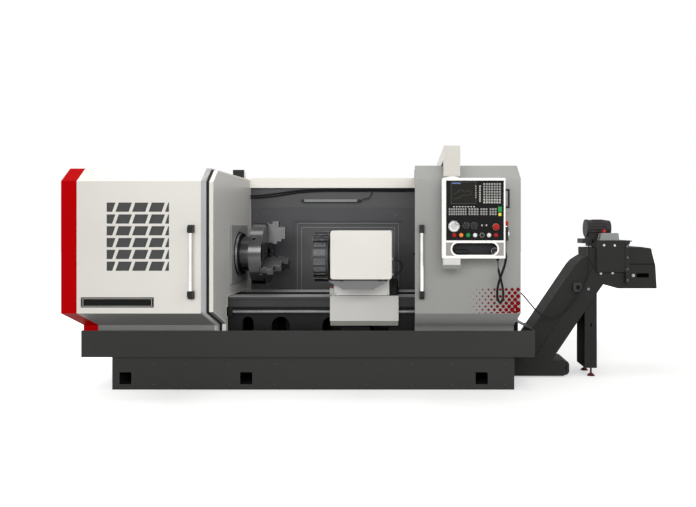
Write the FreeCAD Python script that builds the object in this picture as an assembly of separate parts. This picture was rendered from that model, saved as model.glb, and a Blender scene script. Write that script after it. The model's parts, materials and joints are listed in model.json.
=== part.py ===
"""Flat bed CNC turning lathe with sliding doors, turret, control pendant and chip conveyor.

Millimetres. X runs right along the spindle, Y to the rear and Z up. The origin is the centre of
the plinth's bottom face, on the floor. Each piece is written to its own STEP file.
"""
import FreeCAD, Part
import math
import os

os.makedirs("parts", exist_ok=True)
V = FreeCAD.Vector

# Base, pan and bed
plinth_length = 3443.0
plinth_width = 996.0
plinth_height = 284.0
plinth_wall = 12.0
pocket_size = 105.0
pocket_floor = 44.0
pocket_positions = (-1610.0, -575.0, 1442.0)
pan_height = 225.0
pan_wall = 6.0
pan_left_overhang = 249.0
pan_right_overhang = 169.0
pan_front_overhang = 32.0
pan_rear_overhang = 62.0
bed_length = 3240.0
bed_width = 650.0
bed_height = 496.0
bed_left_end = -1600.0
bed_wall = 60.0
way_width = 230.0
way_thickness = 86.0
way_lip = 12.0
way_lip_height = 22.0
window_height = 285.0
window_positions = (-580.0, -296.0, 145.0, 560.0, 980.0, 1400.0)
window_widths = (100.0, 163.0, 163.0, 163.0, 163.0, 163.0)
window_rise = 40.0
rib_width = 60.0
screw_bracket_length = 40.0
screw_bracket_height = 68.0

# Spindle, chuck and tailstock
centre_height = 361.0
headstock_length = 770.0
headstock_height = 694.0
headstock_wall_gap = 40.0
spindle_radius = 110.0
spindle_bore_radius = 52.0
running_fit = 0.05
bearing_cap_radius = 190.0
bearing_cap_length = 85.0
nose_radius = 159.0
chuck_radius = 281.0
chuck_thickness = 120.0
chuck_bore_radius = 60.0
jaw_width = 60.0
jaw_outer_radius = 297.0
jaw_inner_radius = 92.0
jaw_step_radius = 246.0
jaw_height = 155.0
slot_width = 46.0
slot_depth = 30.0
moving_gap = 0.3
quill_radius = 60.0
tailstock_length = 430.0
tailstock_left_end = 950.0

# Carriage, cross slide and turret
saddle_length = 560.0
saddle_left_end = 150.0
saddle_height = 98.0
apron_length = 590.0
apron_left_end = 140.0
apron_height = 217.0
apron_depth = 40.0
apron_lip_height = 40.0
cross_slide_width = 467.0
cross_slide_taper = 110.0
cross_slide_height = 71.0
screw_radius = 16.0
turret_radius = 190.0
turret_thickness = 126.0
turret_setback = 475.0
turret_left_end = 31.0
turret_face_count = 16
tool_station_angles = (33.75, 146.25, -33.75, -146.25)
tool_block_width = 124.0
tool_block_height = 22.0
tool_groove_width = 28.0
turret_cap_radius = 118.0
turret_cap_thickness = 12.0
neck_radius = 60.0
guard_length = 497.0
guard_depth = 460.0
guard_height = 395.0
guard_wall = 5.0
guard_corner_radius = 22.0

# Enclosure
sheet = 4.0
door_gap = 14.0
door_flange = 10.0
door_bulge = 345.0
door_inset = 25.0
skirt_dip = 39.0
facet_low_rise = 46.0
facet_high_rise = 191.0
left_cover_left = -1838.0
left_cover_right = -750.0
left_door_length = 1035.0
left_face_height = 1060.0
left_top_rise = 113.0
left_top_run = 136.0
red_cap_length = 125.0
right_door_left = 869.0
right_door_length = 847.0
right_cover_left = 905.0
right_cover_clearance = 60.0
right_face_height = 1078.0
right_top_rise = 124.0
right_top_run = 190.0
beam_front = 310.0
beam_width = 90.0
beam_height = 98.0
beam_top = 1877.0
rear_wall_front = 350.0
rear_wall_depth = 30.0
rear_panel_left = -335.0
rear_panel_right = 756.0
rear_panel_top = 1453.0
plate_size = 524.0
plate_thickness = 15.0
plate_opening_radius = 202.0
seal_width = 20.0
seal_gap = 1.0
grille_left_offset = 240.0
grille_top_offset = 173.0
grille_width = 499.0
grille_rows = 6
grille_row_pitch = 94.4
grille_slot_height = 73.6
grille_rib_count = 4
grille_rib_pitch = 132.0
grille_rib_width = 26.0
grille_lean = 25.6
grille_first_rib = 45.0
handle_total_length = 590.0
handle_stand_off = 42.0
handle_radius = 16.0
lamp_left = -242.0
lamp_length = 576.0
lamp_drop = 126.0
lamp_size = 22.0

# Control pendant
pendant_left = 1077.0
pendant_top = 1769.0
pendant_width = 486.0
pendant_height = 619.0
pendant_depth = 130.0
pendant_front = -1050.0
post_size = 125.0
post_rise = 140.0
post_beam_height = 100.0
panel_inset = 30.7
panel_drop = 20.7
panel_length = 442.0
panel_height = 459.0
panel_rim = 12.0
panel_cavity_depth = 34.0
screen_offset = 70.0
screen_drop = 33.0
screen_length = 187.0
screen_height = 164.0
tray_offset = 76.8
tray_drop = 546.0
tray_length = 347.9
tray_radius = 46.0
tray_depth = 70.0
knob_radius = 19.0
selector_radius = 15.0
knob_height = 18.0
wheel_radius = 43.0
estop_radius = 24.0
hook_depth = 72.0
panel_thickness = 4.0
button_radius = 11.7
button_hole_radius = 12.0
button_pitch = 53.4
button_row_drop = 440.0
knob_row_drop = 367.0

# Chip conveyor
conveyor_front = -50.0
conveyor_width = 350.0
trough_height = 147.0
trough_bottom = 12.0
trough_left = -1500.0
trough_right = 2307.0
tunnel_clearance = 10.0
leg_left = 2461.0
leg_width = 112.0
leg_bottom = 76.0
leg_top_gap = 33.0
leg_slot_offset = 50.0
leg_slot_width = 16.0
leg_slot_rise = 379.0
leg_slot_height = 40.0
foot_radius = 38.0
cable_radius = 6.0
incline_left = 1761.0
incline_run = 573.0
incline_top = 1003.0
incline_thickness = 384.0
head_left = 2480.0
head_right = 3117.0
head_top = 1208.0
head_bottom = 823.0
casing_step = 12.0
mouth_wall = 6.0
guard_plate_left = 2552.0
guard_plate_right = 2845.0
guard_plate_top = 1270.0
guard_stand_off = 30.0
motor_left = 2449.0
motor_height = 1382.0
motor_radius = 80.0
motor_fin_depth = 9.0
motor_fin_count = 16
switch_box_left = 2580.0
switch_box_height = 67.0
stop_bore_radius = 12.3
stop_stem_radius = 12.0
stop_cap_radius = 20.0
stop_cap_rise = 11.0
ring_x = 2378.0
ring_z = 834.0
ring_half = 42.0
round_side_count = 16
panel_side_count = 12
cable_side_count = 4
arch_step_count = 8
barrel_side_count = 32

# Derived places
pan_top = plinth_height + pan_height
pan_floor = plinth_height + pan_wall
pan_front = -plinth_width / 2 - pan_front_overhang
pan_rear = plinth_width / 2 + pan_rear_overhang
pan_left = -plinth_length / 2 - pan_left_overhang
pan_right = plinth_length / 2 + pan_right_overhang
bed_top = pan_floor + bed_height
spindle_y = -105.0
spindle_z = bed_top + centre_height
bed_front = spindle_y - bed_width / 2
bed_rear = spindle_y + bed_width / 2
bed_right_end = bed_left_end + bed_length
right_cover_right = bed_right_end + right_cover_clearance
post_top = beam_top + post_rise
lamp_height = beam_top - beam_height - lamp_drop
skirt_y = pan_front + door_inset
face_y = skirt_y - door_bulge
chuck_back = left_cover_right + plate_thickness + 145.0
chuck_face = chuck_back + chuck_thickness
turret_y = spindle_y - turret_setback
saddle_top = bed_top + saddle_height
cross_top = saddle_top + cross_slide_height
screw_y = bed_front + way_lip - screw_radius - 12.0
screw_z = bed_top - 125.0
apron_front = bed_front - apron_depth - 5.0
apron_top = saddle_top - 83.0
pendant_right = pendant_left + pendant_width
pendant_bottom = pendant_top - pendant_height
pendant_back = pendant_front + pendant_depth
trough_top = trough_bottom + trough_height
conveyor_rear = conveyor_front + conveyor_width
guard_left = turret_left_end + turret_thickness + 27.0
guard_front = turret_y - 210.0
guard_bottom = cross_top + 13.0
guard_top = guard_bottom + guard_height


def box(x0, x1, y0, y1, z0, z1):
    """Solid block between two corners."""
    return Part.makeBox(x1 - x0, y1 - y0, z1 - z0, V(x0, y0, z0))


def rod(x, y, z, radius, length, axis="x"):
    """Solid cylinder that starts at a point and runs along one axis."""
    direction = {"x": V(1, 0, 0), "y": V(0, 1, 0), "z": V(0, 0, 1)}[axis]
    return Part.makeCylinder(radius, length, V(x, y, z), direction)


def face_of(points):
    """Flat face inside a closed outline."""
    return Part.Face(Part.makePolygon(points + [points[0]]))


axes = {
    "x": (V(1, 0, 0), V(0, 1, 0), V(0, 0, 1)),
    "y": (V(0, 1, 0), V(1, 0, 0), V(0, 0, 1)),
    "z": (V(0, 0, 1), V(1, 0, 0), V(0, 1, 0)),
}


def ring_corners(centre, first, second, radii):
    """Corners round a centre, spaced evenly, at the given radii in turn."""
    corners = []
    for index, radius in enumerate(radii):
        angle = 2 * math.pi * (index + 0.5) / len(radii)
        corners.append(centre + first * (radius * math.cos(angle))
                       + second * (radius * math.sin(angle)))
    return corners


def turned_part(x, y, z, radius, length, axis="y", end_radius=None, sides=round_side_count):
    """Small turned part as a many-sided prism or taper."""
    forward, first, second = axes[axis]
    start = ring_corners(V(x, y, z), first, second, [radius] * sides)
    if end_radius is None:
        return face_of(start).extrude(forward * length)
    end = ring_corners(V(x, y, z) + forward * length, first, second, [end_radius] * sides)
    faces = [face_of(start), face_of(end)]
    for a, b, c, d in zip(start, start[1:] + start[:1], end[1:] + end[:1], end):
        faces.append(face_of([a, b, c, d]))
    return Part.Solid(Part.Shell(faces))


def fluted_part(x, y, z, radius, flute_depth, length, axis="y", flutes=12):
    """Prism with flutes round its rim, such as a knob or a finned housing."""
    forward, first, second = axes[axis]
    radii = [radius, radius, radius - flute_depth, radius - flute_depth] * flutes
    return face_of(ring_corners(V(x, y, z), first, second, radii)).extrude(forward * length)


def prism_x(outline, x0, x1):
    """Outline of (y, z) points drawn out along X."""
    return face_of([V(x0, y, z) for y, z in outline]).extrude(V(x1 - x0, 0, 0))


def prism_y(outline, y0, y1):
    """Outline of (x, z) points drawn out along Y."""
    return face_of([V(x, y0, z) for x, z in outline]).extrude(V(0, y1 - y0, 0))


def joined(first, *others):
    """One clean solid from solids that touch or overlap."""
    return first.fuse(list(others)).removeSplitter()


def shifted_line(points, gap):
    """Open line moved sideways by a gap, to the right of its direction."""
    moved = []
    for (y0, z0), (y1, z1) in zip(points, points[1:]):
        length = math.hypot(y1 - y0, z1 - z0)
        ny, nz = (z1 - z0) / length * gap, -(y1 - y0) / length * gap
        moved.append(((y0 + ny, z0 + nz), (y1 + ny, z1 + nz)))
    result = [moved[0][0]]
    for (a, b), (c, d) in zip(moved, moved[1:]):
        ux, uz = b[0] - a[0], b[1] - a[1]
        wx, wz = d[0] - c[0], d[1] - c[1]
        t = ((c[0] - a[0]) * wz - (c[1] - a[1]) * wx) / (ux * wz - uz * wx)
        result.append((a[0] + ux * t, a[1] + uz * t))
    result.append(moved[-1][1])
    return result


def folded_sheet(line, thickness, x0, x1):
    """Sheet folded along a (y, z) line, drawn out along X."""
    inner = shifted_line(line, thickness)
    return prism_x(line + inner[::-1], x0, x1)


def cover_line(face_height, top_rise, top_run, gap=0.0):
    """Outer line of the enclosure, from the skirt up the face and back over the roof."""
    facet_low = pan_top + facet_low_rise
    facet_high = pan_top + facet_high_rise
    face_top = facet_high + face_height
    line = [
        (skirt_y, pan_top - skirt_dip),
        (skirt_y, facet_low),
        (face_y, facet_high),
        (face_y, face_top),
        (face_y + top_run, face_top + top_rise),
        (beam_front - 5.0, face_top + top_rise),
    ]
    return shifted_line(line, gap) if gap else line


def tube_path(points):
    """Straight runs joined by tangent arcs, each as large as its two runs allow."""
    edges = []
    start = points[0]
    radii = []
    for before, corner, after in zip(points, points[1:], points[2:]):
        inward = (corner - before).normalize()
        outward = (after - corner).normalize()
        half_turn = inward.getAngle(outward) / 2
        setback = 0.45 * min(corner.distanceToPoint(before), corner.distanceToPoint(after))
        radius = setback / math.tan(half_turn)
        radii.append(round(radius, 1))
        first = corner - inward * setback
        last = corner + outward * setback
        bisector = (outward - inward).normalize()
        middle = corner + bisector * (radius / math.cos(half_turn) - radius)
        edges.append(Part.LineSegment(start, first).toShape())
        edges.append(Part.Arc(first, middle, last).toShape())
        start = last
    edges.append(Part.LineSegment(start, points[-1]).toShape())
    return Part.Wire(edges), radii


def tube(name, points, radius):
    """Cable or hose along its route, with a square section that lies flat in its first bend."""
    path, radii = tube_path(points)
    direction = (points[1] - points[0]).normalize()
    first = direction.cross(points[2] - points[1]).normalize()
    corners = ring_corners(points[0], first, direction.cross(first), [radius] * cable_side_count)
    section = Part.makePolygon(corners + corners[:1])
    solid = path.makePipeShell([section], True, False)
    turn = 2 * math.pi / cable_side_count
    expected = cable_side_count / 2 * radius ** 2 * math.sin(turn) * path.Length
    print(name, "radii", radii, "length", round(path.Length), "volume ratio",
          round(solid.Volume / expected, 4))
    return solid


def edges_along(shape, direction):
    """Straight edges of a shape that run along a direction."""
    chosen = []
    for edge in shape.Edges:
        if len(edge.Vertexes) == 2:
            span = edge.Vertexes[1].Point - edge.Vertexes[0].Point
            if span.Length > 0 and span.normalize().cross(direction).Length < 1e-6:
                chosen.append(edge)
    return chosen


# Base

def base_plinth():
    half_length = plinth_length / 2
    half_width = plinth_width / 2
    body = box(-half_length, half_length, -half_width, half_width, 0, plinth_height)
    hollow = box(-half_length + plinth_wall, half_length - plinth_wall, -half_width + plinth_wall,
                 half_width - plinth_wall, plinth_wall - 2, plinth_height - plinth_wall)
    body = body.cut(hollow)
    body = body.cut(box(half_length - 2 * plinth_wall, half_length + 1,
                        conveyor_front - tunnel_clearance, conveyor_rear + tunnel_clearance,
                        plinth_wall - 2, trough_top + tunnel_clearance))
    for centre in pocket_positions:
        body = body.cut(box(centre - pocket_size / 2, centre + pocket_size / 2,
                            -half_width - 1, -half_width + plinth_wall + 1,
                            pocket_floor, pocket_floor + pocket_size))
    chute = box(-700, bed_right_end, bed_rear + 6, conveyor_rear - 4,
                plinth_height - 2 * plinth_wall, plinth_height + 1)
    return body.cut(chute)


def chip_pan():
    body = box(pan_left, pan_right, pan_front, pan_rear, plinth_height, pan_top)
    body = body.cut(box(pan_left + pan_wall, pan_right - pan_wall, pan_front + pan_wall,
                        pan_rear - pan_wall, pan_floor, pan_top + 1))
    notch = box(plinth_length / 2 + 20, pan_right + 1, conveyor_front - 15, conveyor_rear + 15,
                plinth_height - 1, pan_top + 1)
    chute = box(-700, bed_right_end, bed_rear + 6, conveyor_rear - 4, plinth_height - 1,
                pan_floor + 1)
    return body.cut([notch, chute])


def bed_section():
    """Section of the bed: two walls, each under a flat way with a lip."""
    front = []
    outer = bed_front + way_lip
    front.append((outer, pan_floor))
    front.append((outer, bed_top - way_lip_height))
    front.append((bed_front, bed_top - way_lip_height))
    front.append((bed_front, bed_top))
    front.append((bed_front + way_width, bed_top))
    front.append((bed_front + way_width, bed_top - way_thickness))
    front.append((outer + bed_wall, bed_top - way_thickness))
    front.append((outer + bed_wall, pan_floor))
    return front


def arched_outline(centre, width):
    """Window with a half-round head of short flats, as (x, z) points."""
    radius = width / 2
    low = pan_floor + window_rise
    spring = low + window_height - radius
    outline = [(centre + radius, low)]
    for step in range(arch_step_count + 1):
        angle = math.pi * step / arch_step_count
        outline.append((centre + radius * math.cos(angle), spring + radius * math.sin(angle)))
    return outline + [(centre - radius, low)]


def bed_casting():
    front = bed_section()
    rear = [(2 * spindle_y - y, z) for y, z in front]
    body = prism_x(front, bed_left_end, bed_right_end)
    body = body.fuse(prism_x(rear, bed_left_end, bed_right_end))
    centres = [bed_left_end + rib_width / 2, (bed_left_end + window_positions[0]) / 2]
    centres += [(a + b) / 2 for a, b in zip(window_positions, window_positions[1:])]
    centres.append(bed_right_end - rib_width / 2)
    ribs = []
    for centre in centres:
        ribs.append(box(centre - rib_width / 2, centre + rib_width / 2,
                        bed_front + way_lip + bed_wall - 1, bed_rear - way_lip - bed_wall + 1,
                        pan_floor, bed_top - way_thickness))
    body = body.fuse(ribs)
    for centre, width in zip(window_positions, window_widths):
        opening = prism_y(arched_outline(centre, width), bed_front - 1,
                          bed_front + way_lip + bed_wall + 1)
        body = body.cut(opening)
        opening.translate(V(0, bed_width - way_lip - bed_wall, 0))
        body = body.cut(opening)
    for left in (bed_left_end + headstock_length + 90, bed_right_end - 60):
        bracket = box(left, left + screw_bracket_length, screw_y - screw_radius - 8,
                      bed_front + way_lip, screw_z - screw_bracket_height / 2,
                      screw_z + screw_bracket_height / 2)
        bore = rod(left - 1, screw_y, screw_z, screw_radius + running_fit,
                   screw_bracket_length + 2)
        body = body.fuse(bracket).cut(bore)
    return body.removeSplitter()


# Headstock, spindle and chuck

def headstock_casting():
    right = left_cover_right - headstock_wall_gap
    left = right - headstock_length
    top = bed_top + headstock_height
    outline = [(bed_front, bed_top), (bed_rear, bed_top), (bed_rear, top - 120),
               (bed_rear - 90, top), (bed_front + 90, top), (bed_front, top - 120)]
    body = prism_x(outline, left, right)
    cap = turned_part(right, spindle_y, spindle_z, bearing_cap_radius, bearing_cap_length, "x",
                      sides=barrel_side_count)
    bore = rod(left - 1, spindle_y, spindle_z, spindle_radius + running_fit,
               headstock_length + bearing_cap_length + 2)
    return joined(body, cap).cut(bore)


def spindle():
    right = left_cover_right - headstock_wall_gap
    left = right - headstock_length
    shaft_end = right + bearing_cap_length + moving_gap
    body = rod(left - 80, spindle_y, spindle_z, spindle_radius, shaft_end - left + 80)
    collar = turned_part(left - 60, spindle_y, spindle_z, spindle_radius + 30, 60 - moving_gap,
                         "x")
    nose = turned_part(shaft_end, spindle_y, spindle_z, nose_radius, chuck_back - shaft_end, "x",
                       sides=barrel_side_count)
    bore = rod(left - 81, spindle_y, spindle_z, spindle_bore_radius, chuck_back - left + 82)
    return joined(body, collar, nose).cut(bore)


def turned(shape, degrees):
    """Copy turned about the spindle axis."""
    copy = shape.copy()
    copy.rotate(V(0, spindle_y, spindle_z), V(1, 0, 0), degrees)
    return copy


def chuck_body():
    profile = [(chuck_back, chuck_bore_radius), (chuck_back, chuck_radius),
               (chuck_face - 10, chuck_radius),
               (chuck_face, chuck_radius - 10), (chuck_face, chuck_bore_radius)]
    section = face_of([V(x, spindle_y, spindle_z + r) for x, r in profile])
    body = section.revolve(V(0, spindle_y, spindle_z), V(1, 0, 0), 360)
    reach = chuck_radius + 10
    narrow = box(chuck_face - slot_depth, chuck_face + 1, spindle_y - slot_width / 2,
                 spindle_y + slot_width / 2, spindle_z, spindle_z + reach)
    wide = box(chuck_face - slot_depth, chuck_face - 12, spindle_y - slot_width / 2 - 12,
               spindle_y + slot_width / 2 + 12, spindle_z, spindle_z + reach)
    slot = narrow.fuse(wide)
    key = box(chuck_back + 30, chuck_back + 54, spindle_y - 12, spindle_y + 12,
              spindle_z + chuck_radius - 45, spindle_z + chuck_radius + 10)
    for index in range(3):
        body = body.cut([turned(slot, 120 * index), turned(key, 120 * index + 60)])
    return body


def jaw(index):
    """Stepped jaw with the T-shaped foot that runs in the chuck's slot."""
    foot_top = chuck_face - slot_depth + moving_gap
    half_foot = slot_width / 2 - moving_gap
    neck = box(foot_top, chuck_face + 39, spindle_y - half_foot, spindle_y + half_foot,
               spindle_z + jaw_inner_radius + 12, spindle_z + chuck_radius - 15)
    foot = box(foot_top, chuck_face - 12 - moving_gap, spindle_y - half_foot - 12,
               spindle_y + half_foot + 12, spindle_z + jaw_inner_radius + 12,
               spindle_z + chuck_radius - 15)
    base = chuck_face + moving_gap
    step = base + 39
    shoulder = base + jaw_height - 60
    tip = base + jaw_height
    profile = [(base, jaw_inner_radius + 10), (base, chuck_radius - 8),
               (step, chuck_radius - 8), (step, jaw_outer_radius),
               (shoulder, jaw_outer_radius), (shoulder, jaw_step_radius), (tip, jaw_step_radius),
               (tip, jaw_inner_radius + 45), (shoulder + 25, jaw_inner_radius + 45),
               (shoulder + 25, jaw_inner_radius + 22), (shoulder - 15, jaw_inner_radius + 22),
               (shoulder - 15, jaw_inner_radius), (step, jaw_inner_radius),
               (step, jaw_inner_radius + 10)]
    top = prism_y([(x, spindle_z + r) for x, r in profile], spindle_y - jaw_width / 2,
                  spindle_y + jaw_width / 2)
    bolt = turned_part(step, spindle_y, spindle_z + chuck_radius - 60, 11, 200, "x")
    body = joined(top, neck, foot).cut(bolt)
    return turned(body, 120 * index)


def tailstock_body():
    left = tailstock_left_end
    right = left + tailstock_length
    base = bed_top + moving_gap
    foot = box(left - 30, right + 40, bed_front + 40, bed_rear - 40, base, base + 70)
    column = prism_x([(spindle_y - 190, base + 69), (spindle_y + 190, base + 69),
                      (spindle_y + 92, spindle_z - 60), (spindle_y - 92, spindle_z - 60)],
                     left + 20, right - 20)
    barrel = turned_part(left, spindle_y, spindle_z, 112, tailstock_length, "x",
                         sides=barrel_side_count)
    lock = turned_part(left + 90, spindle_y, spindle_z + 100, 18, 40, "z")
    bore = rod(left - 1, spindle_y, spindle_z, quill_radius + running_fit, tailstock_length - 40)
    return joined(foot, column, barrel, lock).cut(bore)


def quill():
    left = tailstock_left_end - 40
    body = rod(left, spindle_y, spindle_z, quill_radius, 300)
    shank = turned_part(left - 17, spindle_y, spindle_z, 36, 18, "x")
    point = turned_part(left - 62, spindle_y, spindle_z, 1, 46, "x", 26)
    return joined(body, shank, point)


# Carriage and turret

def saddle():
    left = saddle_left_end
    right = left + saddle_length
    bottom = bed_top + moving_gap
    bridge = box(left, right, bed_front - 3, bed_rear + 20, bottom, saddle_top)
    ledge = box(left, right, bed_front - 30, bed_front - 2, apron_top, saddle_top)
    relief = box(left + 130, right - 130, bed_rear - 160, bed_rear + 21, bottom - 1,
                 saddle_top + 1)
    front_cover = box(left + 23, right - 64, bed_front - 45, bed_front - 29,
                      apron_top, saddle_top)
    post = box(right - 66, right - 42, bed_front - 45, bed_front - 20, saddle_top - 1,
               saddle_top + 72)
    fitting = box(left - 14, left + 1, bed_front - 28, bed_front - 4, apron_top + 4,
                  saddle_top - 18)
    return joined(bridge.cut(relief), ledge, front_cover, post, fitting)


def apron():
    left = apron_left_end
    right = left + apron_length
    back = bed_front - 4
    body = box(left, right, apron_front, back, apron_top - apron_height, apron_top)
    lip = box(left + 6, right - 6, apron_front + 8, apron_front + 12,
              apron_top - apron_height - apron_lip_height, apron_top - apron_height + 1)
    tunnel = rod(left - 1, screw_y, screw_z, screw_radius + running_fit, apron_length + 2)
    return joined(body, lip).cut(tunnel)


def z_ball_screw():
    left = bed_left_end + headstock_length + 92
    right = bed_right_end - 10
    return rod(left, screw_y, screw_z, screw_radius, right - left)


def cross_slide():
    left = saddle_left_end + 24
    right = left + cross_slide_width
    bottom = saddle_top + moving_gap
    outline = [(left + cross_slide_taper, bottom), (right - cross_slide_taper, bottom),
               (right, cross_top - 12), (right, cross_top), (left, cross_top),
               (left, cross_top - 12)]
    table = prism_y(outline, guard_front + 20, spindle_y + 165)
    housing = box(guard_left + 60, guard_left + guard_length - 70, guard_front + 40,
                  guard_front + guard_depth - 40, cross_top - 1, guard_top - 50)
    neck = rod(turret_left_end + 40, turret_y, spindle_z, neck_radius - moving_gap,
               guard_left + 61 - turret_left_end - 40)
    shoulder = turned_part(turret_left_end + turret_thickness + moving_gap, turret_y, spindle_z,
                           neck_radius + 28,
                           guard_left + 61 - turret_left_end - turret_thickness, "x")
    return joined(table, housing, neck, shoulder)


def turret_guard():
    right = guard_left + guard_length
    back = guard_front + guard_depth
    body = box(guard_left, right, guard_front, back, guard_bottom, guard_top)
    body = body.makeFillet(guard_corner_radius, edges_along(body, V(0, 1, 0)))
    inner = box(guard_left + guard_wall, right - guard_wall, guard_front + guard_wall,
                back - guard_wall, guard_bottom - 30, guard_top - guard_wall)
    inner = inner.makeChamfer(guard_corner_radius - guard_wall, edges_along(inner, V(0, 1, 0)))
    body = body.cut(inner)
    neck_hole = turned_part(guard_left - 1, turret_y, spindle_z, neck_radius + 36,
                            guard_wall + 3, "x", sides=barrel_side_count)
    body = body.cut(neck_hole)
    foot = guard_bottom - (cross_top - 1)
    for x in (guard_left + 70, right - 110):
        bracket = box(x, x + 40, guard_front + guard_wall - 1, guard_front + 39,
                      guard_bottom - foot + 1, guard_bottom + 30)
        body = body.fuse(bracket)
    return body.removeSplitter()


def turret_disc():
    forward, first, second = axes["x"]
    centre = V(turret_left_end, turret_y, spindle_z)
    corners = ring_corners(centre, first, second, [turret_radius] * turret_face_count)
    body = face_of(corners).extrude(forward * turret_thickness)
    body.rotate(centre, forward, 180 / turret_face_count)
    cap = turned_part(turret_left_end - turret_cap_thickness, turret_y, spindle_z,
                      turret_cap_radius - 8, turret_cap_thickness + 1, "x", turret_cap_radius)
    hub = rod(turret_left_end + 38, turret_y, spindle_z, neck_radius, turret_thickness)
    return joined(body, cap).cut(hub)


def tool_holders():
    """Blocks bolted round the disc, four of its eight stations filled."""
    seat = spindle_z + turret_radius * math.cos(math.pi / turret_face_count)
    top = seat + tool_block_height
    block = box(turret_left_end + 4, turret_left_end + turret_thickness - 6,
                turret_y - tool_block_width / 2, turret_y + tool_block_width / 2, seat, top)
    groove = box(turret_left_end - 1, turret_left_end + turret_thickness,
                 turret_y - tool_groove_width / 2, turret_y + tool_groove_width / 2,
                 top - tool_block_height * 0.6, top + 1)
    block = block.cut(groove)
    pieces = []
    for angle in tool_station_angles:
        copy = block.copy()
        copy.rotate(V(0, turret_y, spindle_z), V(1, 0, 0), angle)
        pieces.append(copy)
    return Part.makeCompound(pieces)


# Enclosure

def left_line(gap=0.0):
    return cover_line(left_face_height, left_top_rise, left_top_run, gap)


def right_line(gap=0.0):
    return cover_line(right_face_height, right_top_rise, right_top_run, gap)


def end_wall(line, x0, x1):
    """Flat sheet that closes the enclosure from the line back to the rear wall."""
    roof_z = line[-1][1]
    outline = line[:-1] + [(rear_wall_front, roof_z), (rear_wall_front, pan_floor + 2),
                           (line[0][0], pan_floor + 2)]
    return prism_x(outline, x0, x1)


def headstock_cover():
    outer = left_line(door_gap)
    outer[-1] = (beam_front, outer[-1][1])
    shell = folded_sheet(outer, sheet, left_cover_left, left_cover_right)
    wall = end_wall(outer, left_cover_right - 6, left_cover_right)
    beam_room = box(left_cover_right - 7, left_cover_right + 1, beam_front, rear_wall_front + 1,
                    beam_top - beam_height, beam_top)
    bed_room = box(left_cover_right - 7, left_cover_right + 1, bed_front - 5, bed_rear + 5,
                   pan_floor - 1, bed_top + 5)
    screw_room = box(left_cover_right - 7, left_cover_right + 1, screw_y - screw_radius - 6,
                     bed_front, screw_z - 40, screw_z + 40)
    nose_room = rod(left_cover_right - 7, spindle_y, spindle_z, plate_opening_radius, 8)
    wall = wall.cut([beam_room, bed_room, screw_room, nose_room])
    return joined(shell, wall)


def red_end_cap():
    left = left_cover_left - red_cap_length
    line = left_line()
    line[-1] = (beam_front, line[-1][1])
    shell = folded_sheet(line, sheet, left, left_cover_left)
    wall = end_wall(line, left, left + sheet)
    return joined(shell, wall)


def cover_seal():
    line = left_line(door_gap - 3.5)[:-1]
    left = left_cover_left + left_door_length + seal_gap
    return folded_sheet(line, 3.5, left, left + seal_width)


def spindle_wall_plate():
    half = plate_size / 2
    plate = box(left_cover_right, left_cover_right + plate_thickness, spindle_y - half,
                spindle_y + half, spindle_z - half, spindle_z + half)
    plate = plate.makeFillet(18, edges_along(plate, V(1, 0, 0)))
    plate = plate.cut(rod(left_cover_right - 1, spindle_y, spindle_z, plate_opening_radius,
                          plate_thickness + 2))
    return plate


def sliding_door(line, x0, x1, bracket_x):
    """Folded door sheet with flanged ends and the bracket that hangs over the rear beam."""
    shell = folded_sheet(line, sheet, x0, x1)
    left_flange = folded_sheet(line, sheet + door_flange, x0, x0 + sheet)
    right_flange = folded_sheet(line, sheet + door_flange, x1 - sheet, x1)
    roof_z = line[-1][1]
    upright = box(bracket_x, bracket_x + 110, beam_front - 25, beam_front - 5, roof_z - sheet,
                  beam_top + 78)
    shoe = prism_x([(beam_front - 6, beam_top + moving_gap), (beam_front + 40, beam_top
                   + moving_gap), (beam_front + 40, beam_top + 30), (beam_front - 6,
                   beam_top + 78)], bracket_x, bracket_x + 110)
    return joined(shell, left_flange, right_flange, upright, shoe)


def left_door_panel():
    right = left_cover_left + left_door_length
    door = sliding_door(left_line(), left_cover_left + moving_gap, right, right - 110)
    left = left_cover_left + grille_left_offset
    top = pan_top + facet_high_rise + left_face_height - grille_top_offset
    slots = []
    for row in range(grille_rows):
        low = top - grille_slot_height - row * grille_row_pitch
        high = low + grille_slot_height
        edges = [(left, left)]
        for rib in range(grille_rib_count):
            bottom_x = left + grille_first_rib + rib * grille_rib_pitch
            edges.append((bottom_x, bottom_x + grille_lean))
        for index, (bottom_x, top_x) in enumerate(edges):
            start = grille_rib_width if index else 0
            if index + 1 < len(edges):
                end_bottom, end_top = edges[index + 1]
            else:
                end_bottom = end_top = left + grille_width
            outline = [(bottom_x + start, low), (end_bottom, low), (end_top, high),
                       (top_x + start, high)]
            slots.append(prism_y(outline, face_y - 1, face_y + sheet + 1))
    return door.cut(slots)


def vent_mesh():
    left = left_cover_left + grille_left_offset - 15
    top = pan_top + facet_high_rise + left_face_height - grille_top_offset + 15
    height = grille_rows * grille_row_pitch + 10
    return box(left, left + grille_width + 30, face_y + sheet, face_y + sheet + 2,
               top - height, top)


def right_door_panel():
    right = right_door_left + right_door_length
    return sliding_door(right_line(), right_door_left, right, right_door_left)


def door_handle(x):
    """Round pull bar between two moulded feet that return to the door face."""
    middle = pan_top + 605.0
    half = handle_total_length / 2
    y = face_y - handle_stand_off
    grip = rod(x, y, middle - half + 20, handle_radius, 2 * half - 40, "z")
    feet = []
    for sign in (-1, 1):
        inner = middle + sign * (half - 62)
        outer = middle + sign * half
        profile = [V(x - 20, y - 20, inner), V(x - 20, y - 20, outer - sign * 22),
                   V(x - 20, y, outer), V(x - 20, face_y, outer), V(x - 20, face_y, inner)]
        feet.append(face_of(profile).extrude(V(40, 0, 0)))
    return joined(grip, *feet)


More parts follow.
